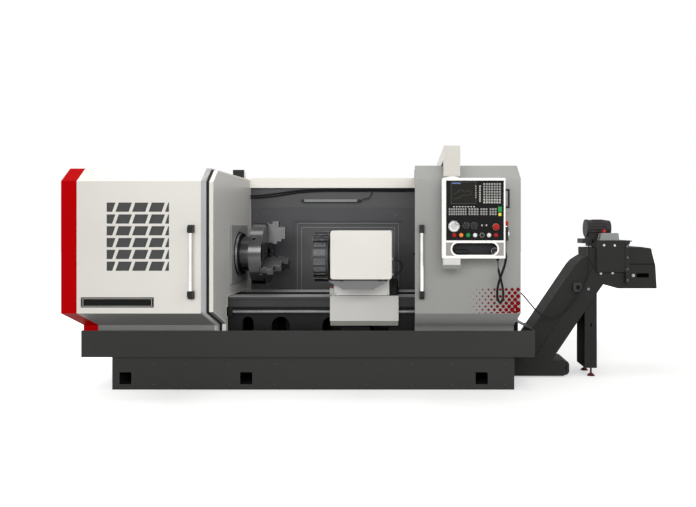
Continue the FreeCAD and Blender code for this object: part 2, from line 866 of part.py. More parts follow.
def right_cover():
    outer = right_line(door_gap)
    outer[-1] = (beam_front - 10, outer[-1][1])
    shell = folded_sheet(outer, sheet, right_cover_left, right_cover_right)
    wall = end_wall(outer, right_cover_right - 6, right_cover_right)
    beam_room = box(right_cover_right - 7, right_cover_right + 1, beam_front,
                    rear_wall_front + 1, beam_top - beam_height, beam_top + 20)
    wall = wall.cut(beam_room)
    slope = prism_y([(right_cover_right, pan_top + 95), (pan_right - pan_wall - 2, pan_top - 4),
                     (pan_right - pan_wall - 8, pan_top - 4), (right_cover_right, pan_top + 88)],
                    skirt_y + 35, conveyor_front - 20)
    return joined(shell, wall, slope)


def rear_guard():
    left = left_cover_left - red_cap_length + sheet
    right = right_cover_right
    top = beam_top - beam_height
    back = rear_wall_front + rear_wall_depth
    body = box(left, right, rear_wall_front, back, pan_floor, top)
    hollow = box(left + sheet, right - sheet, rear_wall_front + sheet + 12, back + 1,
                 pan_floor + sheet, top - sheet)
    body = body.cut(hollow)
    panel = box(rear_panel_left, rear_panel_right, rear_wall_front - 1, rear_wall_front + 8,
                bed_top - 100, rear_panel_top)
    return body.cut(panel)


def rear_beam():
    left = left_cover_left - red_cap_length + sheet
    return box(left, right_cover_right, beam_front, beam_front + beam_width,
               beam_top - beam_height, beam_top)


def work_lamp():
    right = lamp_left + lamp_length
    half = lamp_size / 2
    tube_body = box(lamp_left, right, beam_front - 20, beam_front + 4, lamp_height - half,
                    lamp_height + half)
    brackets = []
    for x in (lamp_left + 42, right - 72):
        brackets.append(box(x, x + 30, beam_front + 3, rear_wall_front, lamp_height - half + 2,
                            lamp_height + half - 2))
    return joined(tube_body, *brackets)


def beam_cable():
    y = beam_front + 14
    left = left_cover_right
    end = right_cover_right - 6
    low = beam_top - beam_height - 77
    points = [V(left, y, low), V(left + 60, y, low), V(left + 150, y, low + 8),
              V(left + 270, y, low + 24), V(left + 400, y, low + 44), V(left + 540, y, low + 57),
              V(left + 690, y, low + 61), V(left + 850, y, low + 64), V(left + 1030, y, low + 61),
              V(left + 1210, y, low + 64), V(left + 1400, y, low + 61), V(left + 1600, y, low + 64),
              V(left + 1800, y, low + 61), V(left + 1990, y, low + 64), V(left + 2160, y, low + 62),
              V(left + 2300, y, low + 64), V(left + 2380, y, low + 63), V(end, y, low + 63)]
    return tube("beam_cable", points, 7)


# Pendant

def pendant_arm():
    x0 = pendant_left + 14
    x1 = x0 + post_size
    y0 = pendant_front + 2
    arm_bottom = post_top - post_beam_height
    arm = box(x0, x1, y0, beam_front + beam_width, arm_bottom, post_top)
    foot = box(x0, x1, beam_front + 50, beam_front + beam_width, beam_top, arm_bottom + 1)
    column = box(x0, x1, y0, y0 + post_size, pendant_top + 14 + moving_gap, arm_bottom + 1)
    pin = rod((x0 + x1) / 2, y0 + post_size / 2, pendant_top - 40, 20, 80, "z")
    return joined(arm, foot, column, pin)


controls = {
    "mpg_handwheel": (89.1, 372.5, 7.05),
    "feed_knob": (182.8, knob_row_drop, 6.05),
    "spindle_knob": (244.2, knob_row_drop, 6.05),
    "key_switch": (321.8, knob_row_drop - 2, 6.05),
    "estop_button": (413.2, 377.0, 10.3),
    "selector_switch": (92.2 + 4 * button_pitch, button_row_drop, 6.05),
}
button_names = {0: "button_red", 1: "button_orange", 2: "button_green", 3: "button_white",
                5: "button_white_right", 6: "button_red_right"}
for number, button_name in button_names.items():
    controls[button_name] = (92.2 + number * button_pitch, button_row_drop, button_hole_radius)


def control_place(name):
    """Centre of a control on the panel's front face."""
    offset, drop, hole = controls[name]
    return pendant_left + offset, pendant_front - panel_thickness, pendant_top - drop


def control_holes(depth):
    holes = []
    for name, (offset, drop, hole) in controls.items():
        x, y, z = control_place(name)
        holes.append(turned_part(x, y - 10, z, hole, depth + 10, sides=panel_side_count))
    return holes


def turning_stem(name, front, back):
    """Stem that clears the flats of its hole as it turns."""
    x, y, z = control_place(name)
    radius = controls[name][2] * math.cos(math.pi / panel_side_count) - running_fit
    return turned_part(x, y - front, z, radius, front + back, sides=panel_side_count)


def pendant_box():
    body = box(pendant_left, pendant_right, pendant_front, pendant_back, pendant_bottom,
               pendant_top)
    body = body.makeFillet(8, edges_along(body, V(0, 1, 0)))
    tray_left = pendant_left + tray_offset
    z = pendant_top - tray_drop
    ends = (tray_left + tray_radius, tray_left + tray_length - tray_radius)
    outline = []
    for centre, start in ((ends[1], -90), (ends[0], 90)):
        for step in range(arch_step_count + 1):
            angle = math.radians(start + 180 * step / arch_step_count)
            outline.append((centre + tray_radius * math.cos(angle),
                            z + tray_radius * math.sin(angle)))
    tray = prism_y(outline, pendant_front - 1, pendant_front + tray_depth)
    left = pendant_left + panel_inset + panel_rim
    top = pendant_top - panel_drop - panel_rim
    cavity = box(left, left + panel_length - 2 * panel_rim, pendant_front - 1,
                 pendant_front + panel_cavity_depth, top - panel_height + 2 * panel_rim, top)
    pin_x = pendant_left + 14 + post_size / 2
    pin_y = pendant_front + 2 + post_size / 2
    collar = turned_part(pin_x, pin_y, pendant_top - 1, 58, 15, "z")
    hub = turned_part(pin_x, pin_y, pendant_bottom - 80, 60, 81, "z")
    handle_x = pendant_right + 30
    grip = turned_part(handle_x, pendant_front + 30, pendant_top - 231, 8, 146, "z")
    arms = [turned_part(pendant_right - 1, pendant_front + 30, pendant_top - 225 + i * 134, 8, 32,
                        "x") for i in range(2)]
    body = joined(body.cut([tray, cavity]), collar, hub, grip, *arms)
    socket = rod(pin_x, pin_y, pendant_top - 60, 20 + running_fit, 80, "z")
    return body.cut(socket)


def screen_block(front, back):
    """Block that fills the screen's window between two depths."""
    left = pendant_left + screen_offset
    top = pendant_top - screen_drop
    return box(left, left + screen_length, front, back, top - screen_height, top)


def panel_plate():
    left = pendant_left + panel_inset
    top = pendant_top - panel_drop
    front = pendant_front - panel_thickness
    plate = box(left, left + panel_length, front, pendant_front, top - panel_height, top)
    plate = plate.cut(screen_block(front - 1, pendant_front + 1))
    return plate.cut(control_holes(20))


def screen():
    return screen_block(pendant_front - panel_thickness + 1, pendant_front)


def push_button(name):
    x, y, z = control_place(name)
    stem = turned_part(x, y - 10, z, button_radius, 24, sides=panel_side_count)
    crown = turned_part(x, y - 11.5, z, button_radius - 1.5, 1.5, end_radius=button_radius,
                        sides=panel_side_count)
    return joined(stem, crown)


def estop_button():
    x, y, z = control_place("estop_button")
    stem = turned_part(x, y - 12, z, 10, 28, sides=panel_side_count)
    cap = turned_part(x, y - 27, z, estop_radius - 4, 9, end_radius=estop_radius)
    rim = turned_part(x, y - 18, z, estop_radius, 7)
    return joined(stem, cap, rim)


def knob(name, cap_radius, height, gap):
    """Fluted knob on a stem that turns in the panel."""
    x, y, z = control_place(name)
    stem = turning_stem(name, gap + 1, 11)
    skirt = turned_part(x, y - gap - 5, z, cap_radius, 5)
    cap = fluted_part(x, y - gap - height, z, cap_radius * 0.86, 1.2, height - 4, flutes=7)
    pointer = box(x - 3, x + 3, y - gap - height - 4, y - gap - height + 1, z - 1,
                  z + cap_radius * 0.8)
    return joined(stem, skirt, cap, pointer)


def key_switch():
    x, y, z = control_place("key_switch")
    stem = turning_stem("key_switch", 9, 12)
    collar = turned_part(x, y - 9, z, 13, 8.7)
    key = box(x - 2, x + 2, y - 34, y - 8, z - 10, z + 10)
    return joined(stem, collar, key)


def mpg_handwheel():
    x, y, z = control_place("mpg_handwheel")
    stem = turning_stem("mpg_handwheel", 4, 12)
    disc = fluted_part(x, y - 20, z, wheel_radius, 1.6, 17)
    recess = turned_part(x, y - 21, z, wheel_radius - 9, 4)
    crank = turned_part(x + 20, y - 38, z + 20, 7, 24)
    return joined(stem, disc.cut(recess), crank)


def hand_pendant():
    left = pendant_right
    y0 = pendant_front + 42
    body = box(left, left + 30, y0, y0 + hook_depth, pendant_top - 484, pendant_top - 378)
    stop = box(left, left + 31, y0 + 14, y0 + 58, pendant_top - 366, pendant_top - 331)
    neck = box(left, left + 22, y0 + 22, y0 + 50, pendant_top - 379, pendant_top - 365)
    dial = turned_part(left + 29, y0 + hook_depth / 2, pendant_top - 430, 26, 9, "x")
    return joined(body, stop, neck, dial)


def curly_cord():
    """Outer form of the coiled lead that hangs from the pendant to the hand unit."""
    top = pendant_bottom
    hand = pendant_top - 484
    points = [V(1512, -990, top), V(1512, -990, 1100), V(1520, -998, 1040),
              V(1538, -1002, 970), V(1554, -1000, 890), V(1552, -994, 830), V(1532, -988, 798),
              V(1511, -982, 826), V(1508, -976, 890), V(1524, -972, 970), V(1556, -970, 1050),
              V(1579, -971, 1130), V(1578, -972, 1210), V(1578, -972, hand)]
    return tube("curly_cord", points, 8)


# Chip conveyor

def cover_outline():
    """Upper line of the incline's cover, from the trough to the head, as (x, z) points."""
    top_x = incline_left + incline_run
    return [(incline_left, trough_top - 1), (top_x, incline_top),
            (top_x + 26, incline_top + 37), (top_x + 61, incline_top + 75),
            (top_x + 106, incline_top + 105), (head_left, head_top - 78)]


def incline_outline():
    """Side outline of the incline and discharge head as (x, z) points."""
    bottom = incline_left + incline_thickness
    head = [(head_left, head_top - 8), (head_right - 137, head_top),
            (head_right - 54, head_top - 13), (head_right - 13, head_bottom + 212),
            (head_right, head_bottom), (head_right - 360, head_bottom),
            (head_right - 497, head_bottom + 38), (head_right - 561, head_bottom - 53)]
    return cover_outline() + head + [(bottom + 15, trough_top + 24), (bottom, trough_top - 1)]


def conveyor_casing():
    body = prism_y(incline_outline(), conveyor_front, conveyor_rear)
    upper = cover_outline() + [(head_left, head_top - 88), (head_left + 66, incline_top + 17),
                               (incline_left + 219, trough_top + 9),
                               (incline_left + 215, trough_top - 1)]
    step_front = prism_y(upper, conveyor_front - 1, conveyor_front + casing_step)
    step_rear = prism_y(upper, conveyor_rear - casing_step, conveyor_rear + 1)
    body = body.cut([step_front, step_rear])
    trough = box(trough_left, trough_right - 50, conveyor_front, conveyor_rear, trough_bottom,
                 trough_top)
    end = box(trough_right - 51, trough_right, conveyor_front + 8, conveyor_rear - 8,
              trough_bottom + 6, trough_top - 8)
    end = end.makeFillet(40, edges_along(end, V(0, 1, 0))[2:])
    slot = box(trough_right - 40, trough_right - 24, conveyor_front - 1, conveyor_front + 30,
               trough_bottom + 40, trough_bottom + 100)
    mouth = prism_y([(head_right - 247, head_bottom - 1), (head_right - 22, head_bottom - 1),
                     (head_right - 22, head_bottom + 17), (head_right - 42, head_top - 178),
                     (head_right - 77, head_top - 58), (head_right - 247, head_top - 58)],
                    conveyor_front + mouth_wall, conveyor_rear - mouth_wall)
    return joined(body, trough, end).cut([slot, mouth])


def conveyor_guard():
    """Bent plate over the drive end of the head, with the flange that carries the hood."""
    front = conveyor_front - guard_stand_off
    seam = guard_plate_right - 27
    plate = box(guard_plate_left, seam, front, conveyor_front, guard_plate_top - 290,
                guard_plate_top)
    top = box(guard_plate_left, guard_plate_right, front, conveyor_rear, head_top + 1,
              guard_plate_top)
    flange = box(seam, guard_plate_right, front - 12, conveyor_front, head_bottom + 51,
                 guard_plate_top)
    return joined(plate, flange, top)


def conveyor_motor():
    """Gear motor on its bracket: flange, finned housing, fan cover and terminal foot."""
    y = conveyor_front + conveyor_width / 2
    seat = guard_plate_top
    base = box(motor_left, motor_left + 154, y - 90, y + 90, seat - 30, seat + 14)
    base = base.cut(box(guard_plate_left - 12, motor_left + 155, y - 91, y + 91, seat - 31, seat))
    z = motor_height
    flange = turned_part(motor_left + 50, y, z, motor_radius + 6, 18, "x")
    housing = fluted_part(motor_left + 67, y, z, motor_radius, motor_fin_depth, 170, "x",
                          motor_fin_count)
    cover = turned_part(motor_left + 236, y, z, motor_radius, 44, "x", motor_radius - 6)
    foot = box(motor_left + 61, motor_left + 251, y - 50, y + 50, seat, z - motor_radius + 20)
    return joined(base, flange, housing, cover, foot)


def conveyor_switch_box():
    front = conveyor_front - 20
    left = switch_box_left
    low = guard_plate_top
    high = low + switch_box_height
    outline = [(left, low), (left + 183, low), (left + 175, high), (left + 20, high)]
    body = prism_y(outline, front, front + 90)
    gland = turned_part(left - 5, front + 20, low + 30, 11, 30, "x")
    bore = turned_part(left + 54, front + 45, high - 27, stop_bore_radius, 40, "z")
    return joined(body, gland).cut(bore)


def conveyor_estop():
    front = conveyor_front - 20
    left = switch_box_left
    high = guard_plate_top + switch_box_height
    stem = turned_part(left + 54, front + 45, high - 17, stop_stem_radius, 30, "z")
    cap = turned_part(left + 54, front + 45, high + stop_cap_rise, stop_cap_radius,
                      stop_cap_radius, "z", stop_cap_radius - 3)
    return joined(stem, cap)


def conveyor_leg():
    """Folded channel that carries the head, with a slot for its tie bolt."""
    right = leg_left + leg_width
    front = conveyor_front + 40
    rear = conveyor_rear - 20
    top = head_bottom - leg_top_gap
    body = box(leg_left, right, front, rear, leg_bottom, top)
    hollow = box(leg_left - 1, right - 6, front + 6, rear - 6, leg_bottom + 8, top + 1)
    body = body.cut(hollow)
    body = body.cut(prism_y(incline_outline(), front - 1, rear + 1))
    low = leg_bottom + leg_slot_rise
    hole = box(leg_left + leg_slot_offset, leg_left + leg_slot_offset + leg_slot_width,
               front - 1, front + 7, low, low + leg_slot_height)
    return body.cut(hole)


def conveyor_feet():
    x = leg_left + leg_width / 2 + 8
    pieces = []
    for y in (conveyor_front + 70, conveyor_rear - 50):
        pad = turned_part(x, y, 0, foot_radius, 20, "z", foot_radius * 0.55)
        stem = turned_part(x, y, 19, 9, leg_bottom - 19, "z")
        pieces.append(joined(pad, stem))
    return Part.makeCompound(pieces)


def cable_ring():
    """Square rounded hook that holds the supply cable against the casing."""
    y0 = conveyor_front - 26
    y1 = conveyor_front
    ring = box(ring_x - ring_half, ring_x + ring_half, y0, y1, ring_z - ring_half,
               ring_z + ring_half)
    ring = ring.makeChamfer(16, edges_along(ring, V(0, 1, 0)))
    eye = box(ring_x - 18, ring_x + 18, y0 - 1, y1 + 1, ring_z - 20, ring_z + 20)
    eye = eye.makeChamfer(7, edges_along(eye, V(0, 1, 0)))
    stud = turned_part(ring_x - ring_half + 14, y1 - 1, ring_z + ring_half - 14, 10, 13)
    return joined(ring.cut(eye), stud)


def conveyor_cable():
    points = [V(right_cover_right, -300, 846), V(1760, -300, 846), V(1830, -282, 795),
              V(1900, -245, 712), V(1970, -200, 634), V(2045, -155, 577), V(2125, -120, 556),
              V(2205, -102, 576), V(2290, -100, 650), V(2370, -100, 750), V(2436, -100, 856),
              V(2466, -100, 980), V(2474, -98, 1090), V(2477, -84, 1180), V(2480, -62, 1245),
              V(2500, -51, 1281), V(2539, -50, 1300), V(2575, -50, 1300)]
    return tube("conveyor_cable", points, cable_radius)


def coolant_hose():
    right = guard_left + guard_length
    y = guard_front + 110
    x = right + 19
    z = 1063
    points = [V(right, y, z + 61), V(x + 20, y, z + 61), V(x + 52, y, z + 38),
              V(x + 64, y, z), V(x + 52, y, z - 38), V(x + 20, y, z - 61), V(right, y, z - 61)]
    return tube("coolant_hose", points, 8)


pieces = {
    "base_plinth": base_plinth,
    "chip_pan": chip_pan,
    "bed_casting": bed_casting,
    "headstock_casting": headstock_casting,
    "headstock_cover": headstock_cover,
    "red_end_cap": red_end_cap,
    "cover_seal": cover_seal,
    "spindle_wall_plate": spindle_wall_plate,
    "rear_guard": rear_guard,
    "rear_beam": rear_beam,
    "right_cover": right_cover,
    "work_lamp": work_lamp,
    "beam_cable": beam_cable,
    "pendant_arm": pendant_arm,
    "left_door_panel": left_door_panel,
    "left_door_handle": lambda: door_handle(left_cover_left + left_door_length - 110),
    "vent_mesh": vent_mesh,
    "right_door_panel": right_door_panel,
    "right_door_handle": lambda: door_handle(right_door_left + 55),
    "spindle": spindle,
    "chuck_body": chuck_body,
    "chuck_jaw_1": lambda: jaw(0),
    "chuck_jaw_2": lambda: jaw(1),
    "chuck_jaw_3": lambda: jaw(2),
    "tailstock_body": tailstock_body,
    "quill": quill,
    "saddle": saddle,
    "apron": apron,
    "z_ball_screw": z_ball_screw,
    "cross_slide": cross_slide,
    "turret_guard": turret_guard,
    "turret_disc": turret_disc,
    "tool_holders": tool_holders,
    "coolant_hose": coolant_hose,
    "pendant_box": pendant_box,
    "panel_plate": panel_plate,
    "screen": screen,
    "hand_pendant": hand_pendant,
    "curly_cord": curly_cord,
    "mpg_handwheel": mpg_handwheel,
    "feed_knob": lambda: knob("feed_knob", knob_radius, knob_height, 1),
    "spindle_knob": lambda: knob("spindle_knob", knob_radius, knob_height, 1),
    "selector_switch": lambda: knob("selector_switch", selector_radius, knob_height - 2, 1),
    "key_switch": key_switch,
    "estop_button": estop_button,
    "conveyor_casing": conveyor_casing,
    "conveyor_guard": conveyor_guard,
    "conveyor_motor": conveyor_motor,
    "conveyor_switch_box": conveyor_switch_box,
    "conveyor_estop": conveyor_estop,
    "conveyor_leg": conveyor_leg,
    "conveyor_feet": conveyor_feet,
    "cable_ring": cable_ring,
    "conveyor_cable": conveyor_cable,
}
for button_name in button_names.values():
    pieces[button_name] = lambda name=button_name: push_button(name)

for name, make in pieces.items():
    shape = make()
    if not shape.isValid():
        print("INVALID", name)
    print(name, len(shape.Solids), "solids", round(shape.Volume / 1e6, 2), "litres")
    shape.exportStep("parts/" + name + ".step")
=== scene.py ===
"""Looks of a flat bed CNC turning lathe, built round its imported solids.

Metres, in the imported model's frame: X runs right along the spindle, Y to the rear and Z up.
"""

import contextlib
import json
import math

import bpy
from mathutils import Matrix, Vector

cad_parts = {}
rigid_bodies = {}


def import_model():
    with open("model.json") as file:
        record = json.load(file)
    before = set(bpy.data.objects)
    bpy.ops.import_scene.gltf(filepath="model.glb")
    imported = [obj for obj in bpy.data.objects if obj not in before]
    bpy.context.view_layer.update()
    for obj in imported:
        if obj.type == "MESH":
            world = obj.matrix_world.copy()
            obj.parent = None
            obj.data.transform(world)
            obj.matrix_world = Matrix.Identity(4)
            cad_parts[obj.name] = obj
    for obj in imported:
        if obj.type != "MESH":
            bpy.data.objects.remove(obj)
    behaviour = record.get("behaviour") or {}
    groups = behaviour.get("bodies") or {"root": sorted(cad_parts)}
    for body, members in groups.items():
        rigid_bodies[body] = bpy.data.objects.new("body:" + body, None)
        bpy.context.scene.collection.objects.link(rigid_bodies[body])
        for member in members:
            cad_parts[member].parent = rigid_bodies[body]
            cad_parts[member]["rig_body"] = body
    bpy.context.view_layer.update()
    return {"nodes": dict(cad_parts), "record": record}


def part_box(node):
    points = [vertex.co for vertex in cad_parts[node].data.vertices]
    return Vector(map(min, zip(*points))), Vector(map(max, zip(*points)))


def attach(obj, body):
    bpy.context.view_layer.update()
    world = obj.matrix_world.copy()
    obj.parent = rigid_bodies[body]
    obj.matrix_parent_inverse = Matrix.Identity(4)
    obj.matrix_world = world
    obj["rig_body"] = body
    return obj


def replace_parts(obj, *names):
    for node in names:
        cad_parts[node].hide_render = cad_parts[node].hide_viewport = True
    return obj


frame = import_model()

bl_info = {
    "name": "Flat bed lathe",
    "version": (1, 0, 0),
    "blender": (4, 5, 0),
    "location": "View3D > Sidebar > Lathe",
    "description": "Finishes, trim, cables and studio for a flat bed CNC turning lathe",
    "category": "Object",
}

MM = 0.001


def linear(hex_colour):
    """Linear colour with full alpha from an sRGB hex string."""
    channels = [int(hex_colour[index:index + 2], 16) / 255 for index in (1, 3, 5)]
    curve = [c / 12.92 if c <= 0.04045 else ((c + 0.055) / 1.055) ** 2.4 for c in channels]
    return (*curve, 1.0)


def colour_choice(name, hex_colour):
    """Colour property that starts from an sRGB hex value."""
    return bpy.props.FloatVectorProperty(name=name, description=name + " of the machine",
                                         subtype="COLOR", size=4, min=0, max=1,
                                         default=linear(hex_colour))


def size_choice(name, millimetres):
    """Length property that starts from a size in millimetres."""
    return bpy.props.FloatProperty(name=name, description=name + " in metres", subtype="DISTANCE",
                                   unit="LENGTH", min=0, default=millimetres * MM)


class LatheColours(bpy.types.PropertyGroup):
    """Paint and ink colours that a user would change."""
    white: colour_choice("White cover paint", "#dedbd4")
    silver: colour_choice("Silver door paint", "#959592")
    apron: colour_choice("Apron paint", "#cbc9c5")
    red: colour_choice("Red end cap paint", "#b80205")
    dark: colour_choice("Dark grey base paint", "#2f2f2e")
    beige: colour_choice("Beam and post paint", "#ece8e0")
    wall: colour_choice("Inner wall paint", "#47474a")
    # Darker than the casting's own paint: painted shade under the ways
    iron: colour_choice("Bed casting paint", "#101010")
    dots: colour_choice("Printed dots", "#74070d")


class LatheSizes(bpy.types.PropertyGroup):
    """Sizes of the coiled lead."""
    strand: size_choice("Curly cord strand", 7)
    curl: size_choice("Curly cord outer diameter", 22)


class LatheStage(bpy.types.PropertyGroup):
    """Camera and lights."""
    camera: bpy.props.FloatVectorProperty(name="Camera", description="Camera place in metres",
                                          subtype="XYZ", default=(0.8453, -5.85, 1.384))
    lens: bpy.props.FloatProperty(name="Lens", description="Focal length in millimetres",
                                  default=32.33, min=10)
    key: bpy.props.FloatProperty(name="Key light", description="Power of the large front light",
                                 subtype="POWER", default=400, min=0)
    fill: bpy.props.FloatProperty(name="Fill light", description="Power of the side light",
                                  subtype="POWER", default=70, min=0)
    top: bpy.props.FloatProperty(name="Top light", description="Power of the overhead light",
                                 subtype="POWER", default=75, min=0)
    sky: bpy.props.FloatProperty(name="Surround", description="Strength of the even light",
                                 default=0.5, min=0)


def colours():
    return bpy.context.scene.lathe_colours


def sizes():
    return bpy.context.scene.lathe_sizes


# Nodes and materials

def add(tree, kind, links=None, **settings):
    """Adds a node with its settings, socket values and links."""
    node = tree.nodes.new(kind)
    for key, value in settings.items():
        setattr(node, key, value)
    for socket, value in (links or {}).items():
        if isinstance(value, bpy.types.NodeSocket):
            tree.links.new(value, node.inputs[socket])
        else:
            node.inputs[socket].default_value = value
    return node


def maths(tree, operation, first, second):
    """Result of one calculation."""
    return add(tree, "ShaderNodeMath", {0: first, 1: second}, operation=operation).outputs[0]


def ranged(tree, value, source, target):
    """Value carried from one range to another."""
    return add(tree, "ShaderNodeMapRange", {"Value": value, 1: source[0], 2: source[1],
                                            3: target[0], 4: target[1]}).outputs[0]


def noise(tree, place, size, detail=2.0):
    """Cloudy value whose coarsest clouds have the given size."""
    return add(tree, "ShaderNodeTexNoise", {"Vector": place, "Scale": 1 / size,
                                            "Detail": detail}).outputs["Fac"]


def mixed(tree, factor, first, second):
    """Colour between two others."""
    return add(tree, "ShaderNodeMix", {"Factor": factor, 6: first, 7: second},
               data_type="RGBA").outputs[2]


def bumped(tree, height, strength, distance, normal=None):
    """Normal that follows a height, laid over another normal where one is given."""
    sockets = {"Strength": strength, "Distance": distance, "Height": height}
    if normal:
        sockets["Normal"] = normal
    return add(tree, "ShaderNodeBump", sockets).outputs[0]


def material(name):
    """New empty material and its tree."""
    made = bpy.data.materials.new(name)
    made.use_nodes = True
    made.node_tree.nodes.clear()
    return made, made.node_tree


def finish_material(made, tree, sockets):
    """Surface shader with the given sockets, joined to the output."""
    shader = add(tree, "ShaderNodeBsdfPrincipled", sockets)
    add(tree, "ShaderNodeOutputMaterial", {"Surface": shader.outputs["BSDF"]})
    made.diffuse_color = (0.5, 0.5, 0.5, 1)
    return made


# Where nearly all values of a noise lie
CLOUDS = (0.3, 0.7)
# Scale that gives a wave texture one band for each unit of its vector
WAVE = 0.314


def worn_and_lit_edge_mask(tree, radius):
    """Mask that is 1 on outer edges, where the finish is thin and where paler colour is laid on as
    a painted highlight, and the rounded normal there.
    """
    rounded = add(tree, "ShaderNodeBevel", {"Radius": radius}, samples=4)
    plain = add(tree, "ShaderNodeNewGeometry")
    turn = add(tree, "ShaderNodeVectorMath", {0: rounded.outputs[0], 1: plain.outputs["Normal"]},
               operation="DOT_PRODUCT")
    return ranged(tree, turn.outputs["Value"], (0.995, 0.8), (0.0, 1.0)), rounded.outputs[0]


def toned(tree, colour, size, depth):
    """Colour that drifts lighter and darker over the surface, the drift and the place."""
    place = add(tree, "ShaderNodeTexCoord").outputs["Object"]
    cloud = noise(tree, place, size, 4.0)
    value = ranged(tree, cloud, CLOUDS, (1 - depth, 1 + depth))
    shade = add(tree, "ShaderNodeHueSaturation", {"Value": value, "Color": colour})
    return shade.outputs[0], cloud, place


def painted(name, colour, roughness=0.38, wear_and_highlight=0.35, shine=0.4, peel=14 * MM):
    """Powder-coated steel sheet: baked satin paint with faint orange peel, and paler edges that
    are partly wear and partly a painted highlight.
    Real orange peel is about 2 mm across, so it is drawn as coarse as the render can show."""
    made, tree = material(name)
    shade, cloud, place = toned(tree, colour, 0.7, 0.03)
    mask, rounded = worn_and_lit_edge_mask(tree, 3 * MM)
    # Paler colour on the edges: partly worn paint, partly a painted highlight
    lit = mixed(tree, maths(tree, "MULTIPLY", mask, wear_and_highlight), shade, linear("#efeeea"))
    rough = ranged(tree, cloud, CLOUDS, (roughness - 0.05, roughness + 0.06))
    bump = bumped(tree, noise(tree, place, peel), 0.05, 0.6 * MM, rounded)
    return finish_material(made, tree, {"Base Color": lit, "Roughness": rough, "Normal": bump,
                                        "Specular IOR Level": shine})


def cast_iron(name, colour):
    """Sand-cast iron under thick sprayed enamel: a soft rough grain, and paler edges that are
    partly wear and partly a painted highlight.
    """
    made, tree = material(name)
    shade, cloud, place = toned(tree, colour, 0.3, 0.1)
    mask, rounded = worn_and_lit_edge_mask(tree, 4 * MM)
    # Paler colour on the edges: partly worn paint, partly a painted highlight
    lit = mixed(tree, maths(tree, "MULTIPLY", mask, 0.3), shade, linear("#8d8f90"))
    bump = bumped(tree, noise(tree, place, 9 * MM, 6.0), 0.25, 1.2 * MM, rounded)
    return finish_material(made, tree, {"Base Color": lit, "Roughness": 0.6, "Normal": bump,
                                        "Specular IOR Level": 0.15})


def machined(name, colour, roughness, stretch, pitch=3 * MM):
    """Machined steel: fine cutter lines along one direction, and edges lightened as a painted
    highlight.
    The lines of a real cut are 0.2 mm apart, so they are drawn at the pitch that shows."""
    made, tree = material(name)
    shade, cloud, place = toned(tree, colour, 0.15, 0.12)
    squeezed = add(tree, "ShaderNodeMapping", {"Vector": place, "Scale": stretch})
    lines = noise(tree, squeezed.outputs[0], pitch, 3.0)
    mask, rounded = worn_and_lit_edge_mask(tree, 2 * MM)
    rough = ranged(tree, lines, CLOUDS, (roughness - 0.08, roughness + 0.1))
    # Paler colour on the edges is a painted highlight
    return finish_material(made, tree, {
        "Base Color": mixed(tree, mask, shade, linear("#d8d8d6")), "Metallic": 1.0,
        "Roughness": rough, "Normal": bumped(tree, lines, 0.12, 0.3 * MM, rounded)})


def moulded(name, colour, roughness=0.42, shine=0.2):
    """Moulded ABS or rubber: one colour all through, with a fine spark-eroded grain."""
    made, tree = material(name)
    shade, cloud, place = toned(tree, colour, 0.05, 0.04)
    bump = bumped(tree, noise(tree, place, 4 * MM), 0.1, 0.3 * MM)
    return finish_material(made, tree, {"Base Color": shade, "Roughness": roughness,
                                        "Normal": bump, "Specular IOR Level": shine})


def turned_steel(name, colour, centre, pitch=5 * MM):
    """Steel turned on a lathe: fine rings about the spindle line, and corners lightened as a
    painted highlight.
    Real turning marks are 0.2 mm apart, so they are drawn at the pitch that shows."""
    made, tree = material(name)
    shade, cloud, place = toned(tree, colour, 0.12, 0.1)
    centred = add(tree, "ShaderNodeMapping", {"Vector": place, "Location": -centre})
    rings = add(tree, "ShaderNodeTexWave", {"Vector": centred.outputs[0], "Scale": WAVE / pitch,
                                            "Distortion": 0.3},
                wave_type="RINGS", rings_direction="X").outputs["Fac"]
    mask, rounded = worn_and_lit_edge_mask(tree, 2 * MM)
    # Paler colour on the edges is a painted highlight
    return finish_material(made, tree, {
        "Base Color": mixed(tree, mask, shade, linear("#d4d4d2")), "Metallic": 1.0,
        "Roughness": ranged(tree, rings, (0.0, 1.0), (0.17, 0.27)),
        "Normal": bumped(tree, rings, 0.15, 0.4 * MM, rounded)})


def wire_mesh(name, colour, pitch=9 * MM):
    """Woven wire cloth, painted: raised wires both ways over holes darkened as painted shade.
    The real wires are 2 mm apart, so they are drawn at the pitch that shows."""
    made, tree = material(name)
    place = add(tree, "ShaderNodeTexCoord").outputs["Object"]
    across, upright = (add(tree, "ShaderNodeTexWave", {"Vector": place, "Scale": WAVE / pitch},
                           wave_type="BANDS", bands_direction=direction).outputs["Fac"]
                       for direction in ("X", "Z"))
    height = maths(tree, "MAXIMUM", across, upright)
    # Low places between the wires darkened as painted shade
    value = ranged(tree, height, (0.5, 0.95), (0.3, 1.0))
    wire = add(tree, "ShaderNodeHueSaturation", {"Value": value, "Color": colour})
    return finish_material(made, tree, {"Base Color": wire.outputs[0], "Roughness": 0.5,
                                        "Normal": bumped(tree, height, 0.5, 1.5 * MM)})


def glowing(name, colour, strength):
    """Backlit screen field or lamp cover: even light through a matt skin."""
    made, tree = material(name)
    shade, cloud, place = toned(tree, colour, 0.08, 0.05)
    return finish_material(made, tree, {
        "Base Color": shade, "Roughness": 0.45, "Emission Color": shade,
        "Emission Strength": strength, "Specular IOR Level": 0.06})


